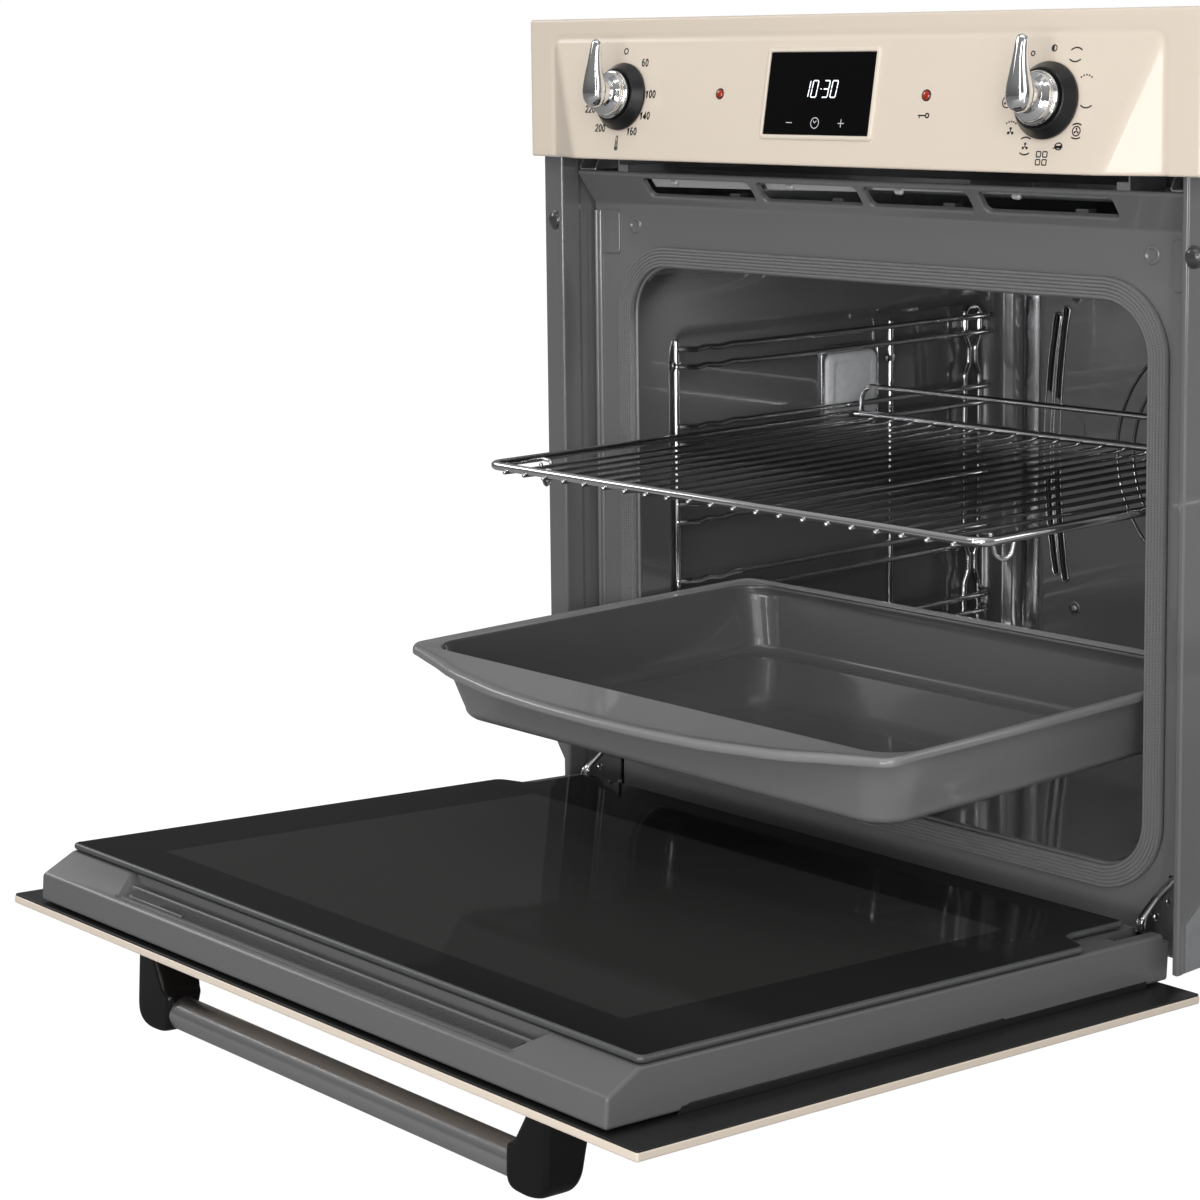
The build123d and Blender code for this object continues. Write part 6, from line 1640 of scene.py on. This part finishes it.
# ================================================================ finishes of the carried-over nodes
insul = Mat("mineral_wool", Sheen_Weight=.4)
h = insul.noise(260.0, 6.0, .75)
insul.set(Base_Color=insul.mix(h, lin(176, 160, 116), lin(222, 210, 170)), Roughness=insul.rng(h, .8, .98), Normal=insul.bump(h, .0016))
board = Mat("circuit_board_green")
h = board.noise(500.0, 3.0)
board.set(Base_Color=board.mix(h, lin(22, 58, 38), lin(40, 84, 56)), Roughness=board.rng(h, .35, .5), Normal=board.bump(board.voronoi(300.0), .00003))
ceramic = enamel("ceramic_white", lin(214, 212, 205), rough=.45, mottle=.03, peel=.00001, peel_size=.0008, var=.06)
motor_black = enamel("motor_paint", lin(30, 30, 32), rough=.42, mottle=.1, peel=.000014, peel_size=.0007, var=.08)
FIN = {"side_panel_left": galv, "side_panel_right": galv, "rear_panel": galv, "top_cover": galv, "base_pan": galv, "air_duct": galv,
       "control_bracket": galv, "insulation_blanket": insul.m, "blower_housing": galv, "blower_rotor": alu, "blower_motor": motor_black,
       "convection_fan": alu, "fan_motor": motor_black, "ring_element": element_tube,  "bottom_element": element_tube,
       "terminal_block": ceramic, "lamp_bulb": lamp_glass, "selector_switch": motor_black, "thermostat_switch": motor_black,
       "display_module": board.m, "glass_clips": black_satin}
for nm_, ob_ in nodes_.items():
    mt = FIN.get(nm_, galv)
    if not ob_.data.materials:
        ob_.data.materials.append(mt)
    for i in range(len(ob_.data.materials)):
        ob_.data.materials[i] = mt


# ================================================================ staging: pale floor, low plinth, soft light
def stage_mat(name, col, glow=0.0):
    m = Mat(name, Roughness=.9, Emission_Strength=glow)
    c = m.mix(m.noise(1.3, 3.0), scale3(col, .985), col)
    seen = m.t.nodes.new("ShaderNodeLightPath").outputs["Is Camera Ray"]
    m.set(Base_Color=m.mix(seen, scale3(col, .38), scale3(col, .12)), Emission_Color=c, Emission_Strength=m.rng(seen, glow, 1.12))
    return m.m


def stage_ob(name, g, mat):
    me = bpy.data.meshes.new(name)
    me.from_pydata([tuple(c * MM for c in p) for p in g[0]], [], g[1])
    me.materials.append(mat)
    ob = bpy.data.objects.new(name, me)
    bpy.context.scene.collection.objects.link(ob)
    return ob


pale = stage_mat("pale_floor", (.9, .9, .9), .06)
stage_ob("floor", ([(p[0], p[1], -45) for p in circle(14000, 96)], [tuple(range(96))], None), pale)
me = stage_ob("plinth", rounded(lambda i: rrect(262 - i, 236 - i, 12, 5, 0, 16), -45.5, -.3, 0, 2.5, 3), pale)

scene = bpy.context.scene
world = bpy.data.worlds.new("studio")
scene.world = world
world.use_nodes = True
wt = world.node_tree
bg = wt.nodes["Background"]
tc = wt.nodes.new("ShaderNodeTexCoord")
sep = wt.nodes.new("ShaderNodeSeparateXYZ")
wt.links.new(tc.outputs["Generated"], sep.inputs[0])
rampn = wt.nodes.new("ShaderNodeValToRGB")
mr = wt.nodes.new("ShaderNodeMapRange")
mr.inputs["From Min"].default_value, mr.inputs["From Max"].default_value = -1.0, 1.0
wt.links.new(sep.outputs["Z"], mr.inputs["Value"])
wt.links.new(mr.outputs["Result"], rampn.inputs["Fac"])
cr = rampn.color_ramp
cr.elements[0].position, cr.elements[0].color = .5, (.11, .11, .11, 1)
cr.elements[1].position, cr.elements[1].color = 1.0, (.45, .45, .45, 1)
e = cr.elements.new(.62)
e.color = (.21, .21, .21, 1)
lp = wt.nodes.new("ShaderNodeLightPath")
mx = wt.nodes.new("ShaderNodeMix")
mx.data_type = "RGBA"
wt.links.new(lp.outputs["Is Camera Ray"], mx.inputs[0])
wt.links.new(rampn.outputs["Color"], mx.inputs[6])
mx.inputs[7].default_value = (1, 1, 1, 1)
wt.links.new(mx.outputs[2], bg.inputs["Color"])
bg.inputs["Strength"].default_value = 1.0


def area(name, at, to, size, energy, size_y=None, col=(1, 1, 1), spread=180):
    ld = bpy.data.lights.new(name, "AREA")
    ld.shape, ld.size, ld.size_y = "RECTANGLE", size, size_y or size
    ld.energy, ld.color = energy, col
    ld.spread = radians(spread)
    ob = bpy.data.objects.new(name, ld)
    ob.location = at
    ob.rotation_mode = "QUATERNION"
    ob.rotation_quaternion = (Vector(to) - Vector(at)).to_track_quat("-Z", "Y")
    scene.collection.objects.link(ob)
    return ob


area("key_softbox", (2.3, -2.3, 1.35), (0, -.3, .3), 1.8, 26)
area("camera_strip", (2.35, -2.3, .9), (0, -.1, .25), .10, 11, 2.4)
area("front_strip", (.45, -3.3, .95), (0, -.1, .25), .10, 9, 2.2)
area("top_strip", (0, -2.0, 2.5), (0, -.2, .3), 2.4, 9, .10)
card = area("left_card", (-2.2, -1.2, 1.5), (0, -.6, .1), 1.4, 10, .55)
card.visible_diffuse = False
strip_ = area("floor_strip", (1.47, -1.64, -.038), (1.47, -1.64, 1), 1.9, 2.4, .12)
strip_.rotation_mode = "XYZ"
strip_.rotation_euler = (pi, 0, radians(-48))
for o_ in (card, strip_):
    o_.visible_camera = False
strip_.visible_diffuse = False
area("top_softbox", (.2, -.7, 2.9), (0, -.35, .2), 2.2, 4, 1.6)
area("front_fill", (1.2, -3.2, .4), (0, -.2, .25), 1.6, 24, .6)
area("back_fill", (-1.0, 2.9, 1.8), (0, .1, .3), 1.8, 14)
area("back_fill_right", (2.6, 1.6, 1.2), (0, 0, .3), 1.2, 8)
inner = area("cavity_fill", (0, -.245, .396), (0, .1, .1), .40, .5, .05)
inner.visible_camera = False
inner.visible_glossy = False

# ---------------------------------------------------------------- camera
cam = bpy.data.cameras.new("camera")
co = bpy.data.objects.new("camera", cam)
scene.collection.objects.link(co)
CX, CY, CZ_, CA, CP, CF, CR = 1279.043, -1362.2138, 574.5544, .835264, .123012, 2804.768, -.011843
right = Vector((cos(CA), sin(CA), 0))
fwd = Vector((-sin(CA) * cos(CP), cos(CA) * cos(CP), -sin(CP)))
up = right.cross(fwd)
r2 = right * cos(CR) + up * sin(CR)
u2 = up * cos(CR) - right * sin(CR)
M3 = Matrix((r2, u2, -fwd)).transposed()
co.rotation_mode = "QUATERNION"
co.rotation_quaternion = M3.to_quaternion()
co.location = (CX * MM, (CY + YF) * MM, CZ_ * MM)
cam.sensor_width = 36.0
cam.lens = CF * 36.0 / 1200.0
cam.shift_x, cam.shift_y = 0.0, -.175
cam.clip_start, cam.clip_end = .05, 60.0
cam.dof.use_dof = False
scene.camera = co
scene.view_settings.view_transform = "Standard"
scene.view_settings.look = "None"
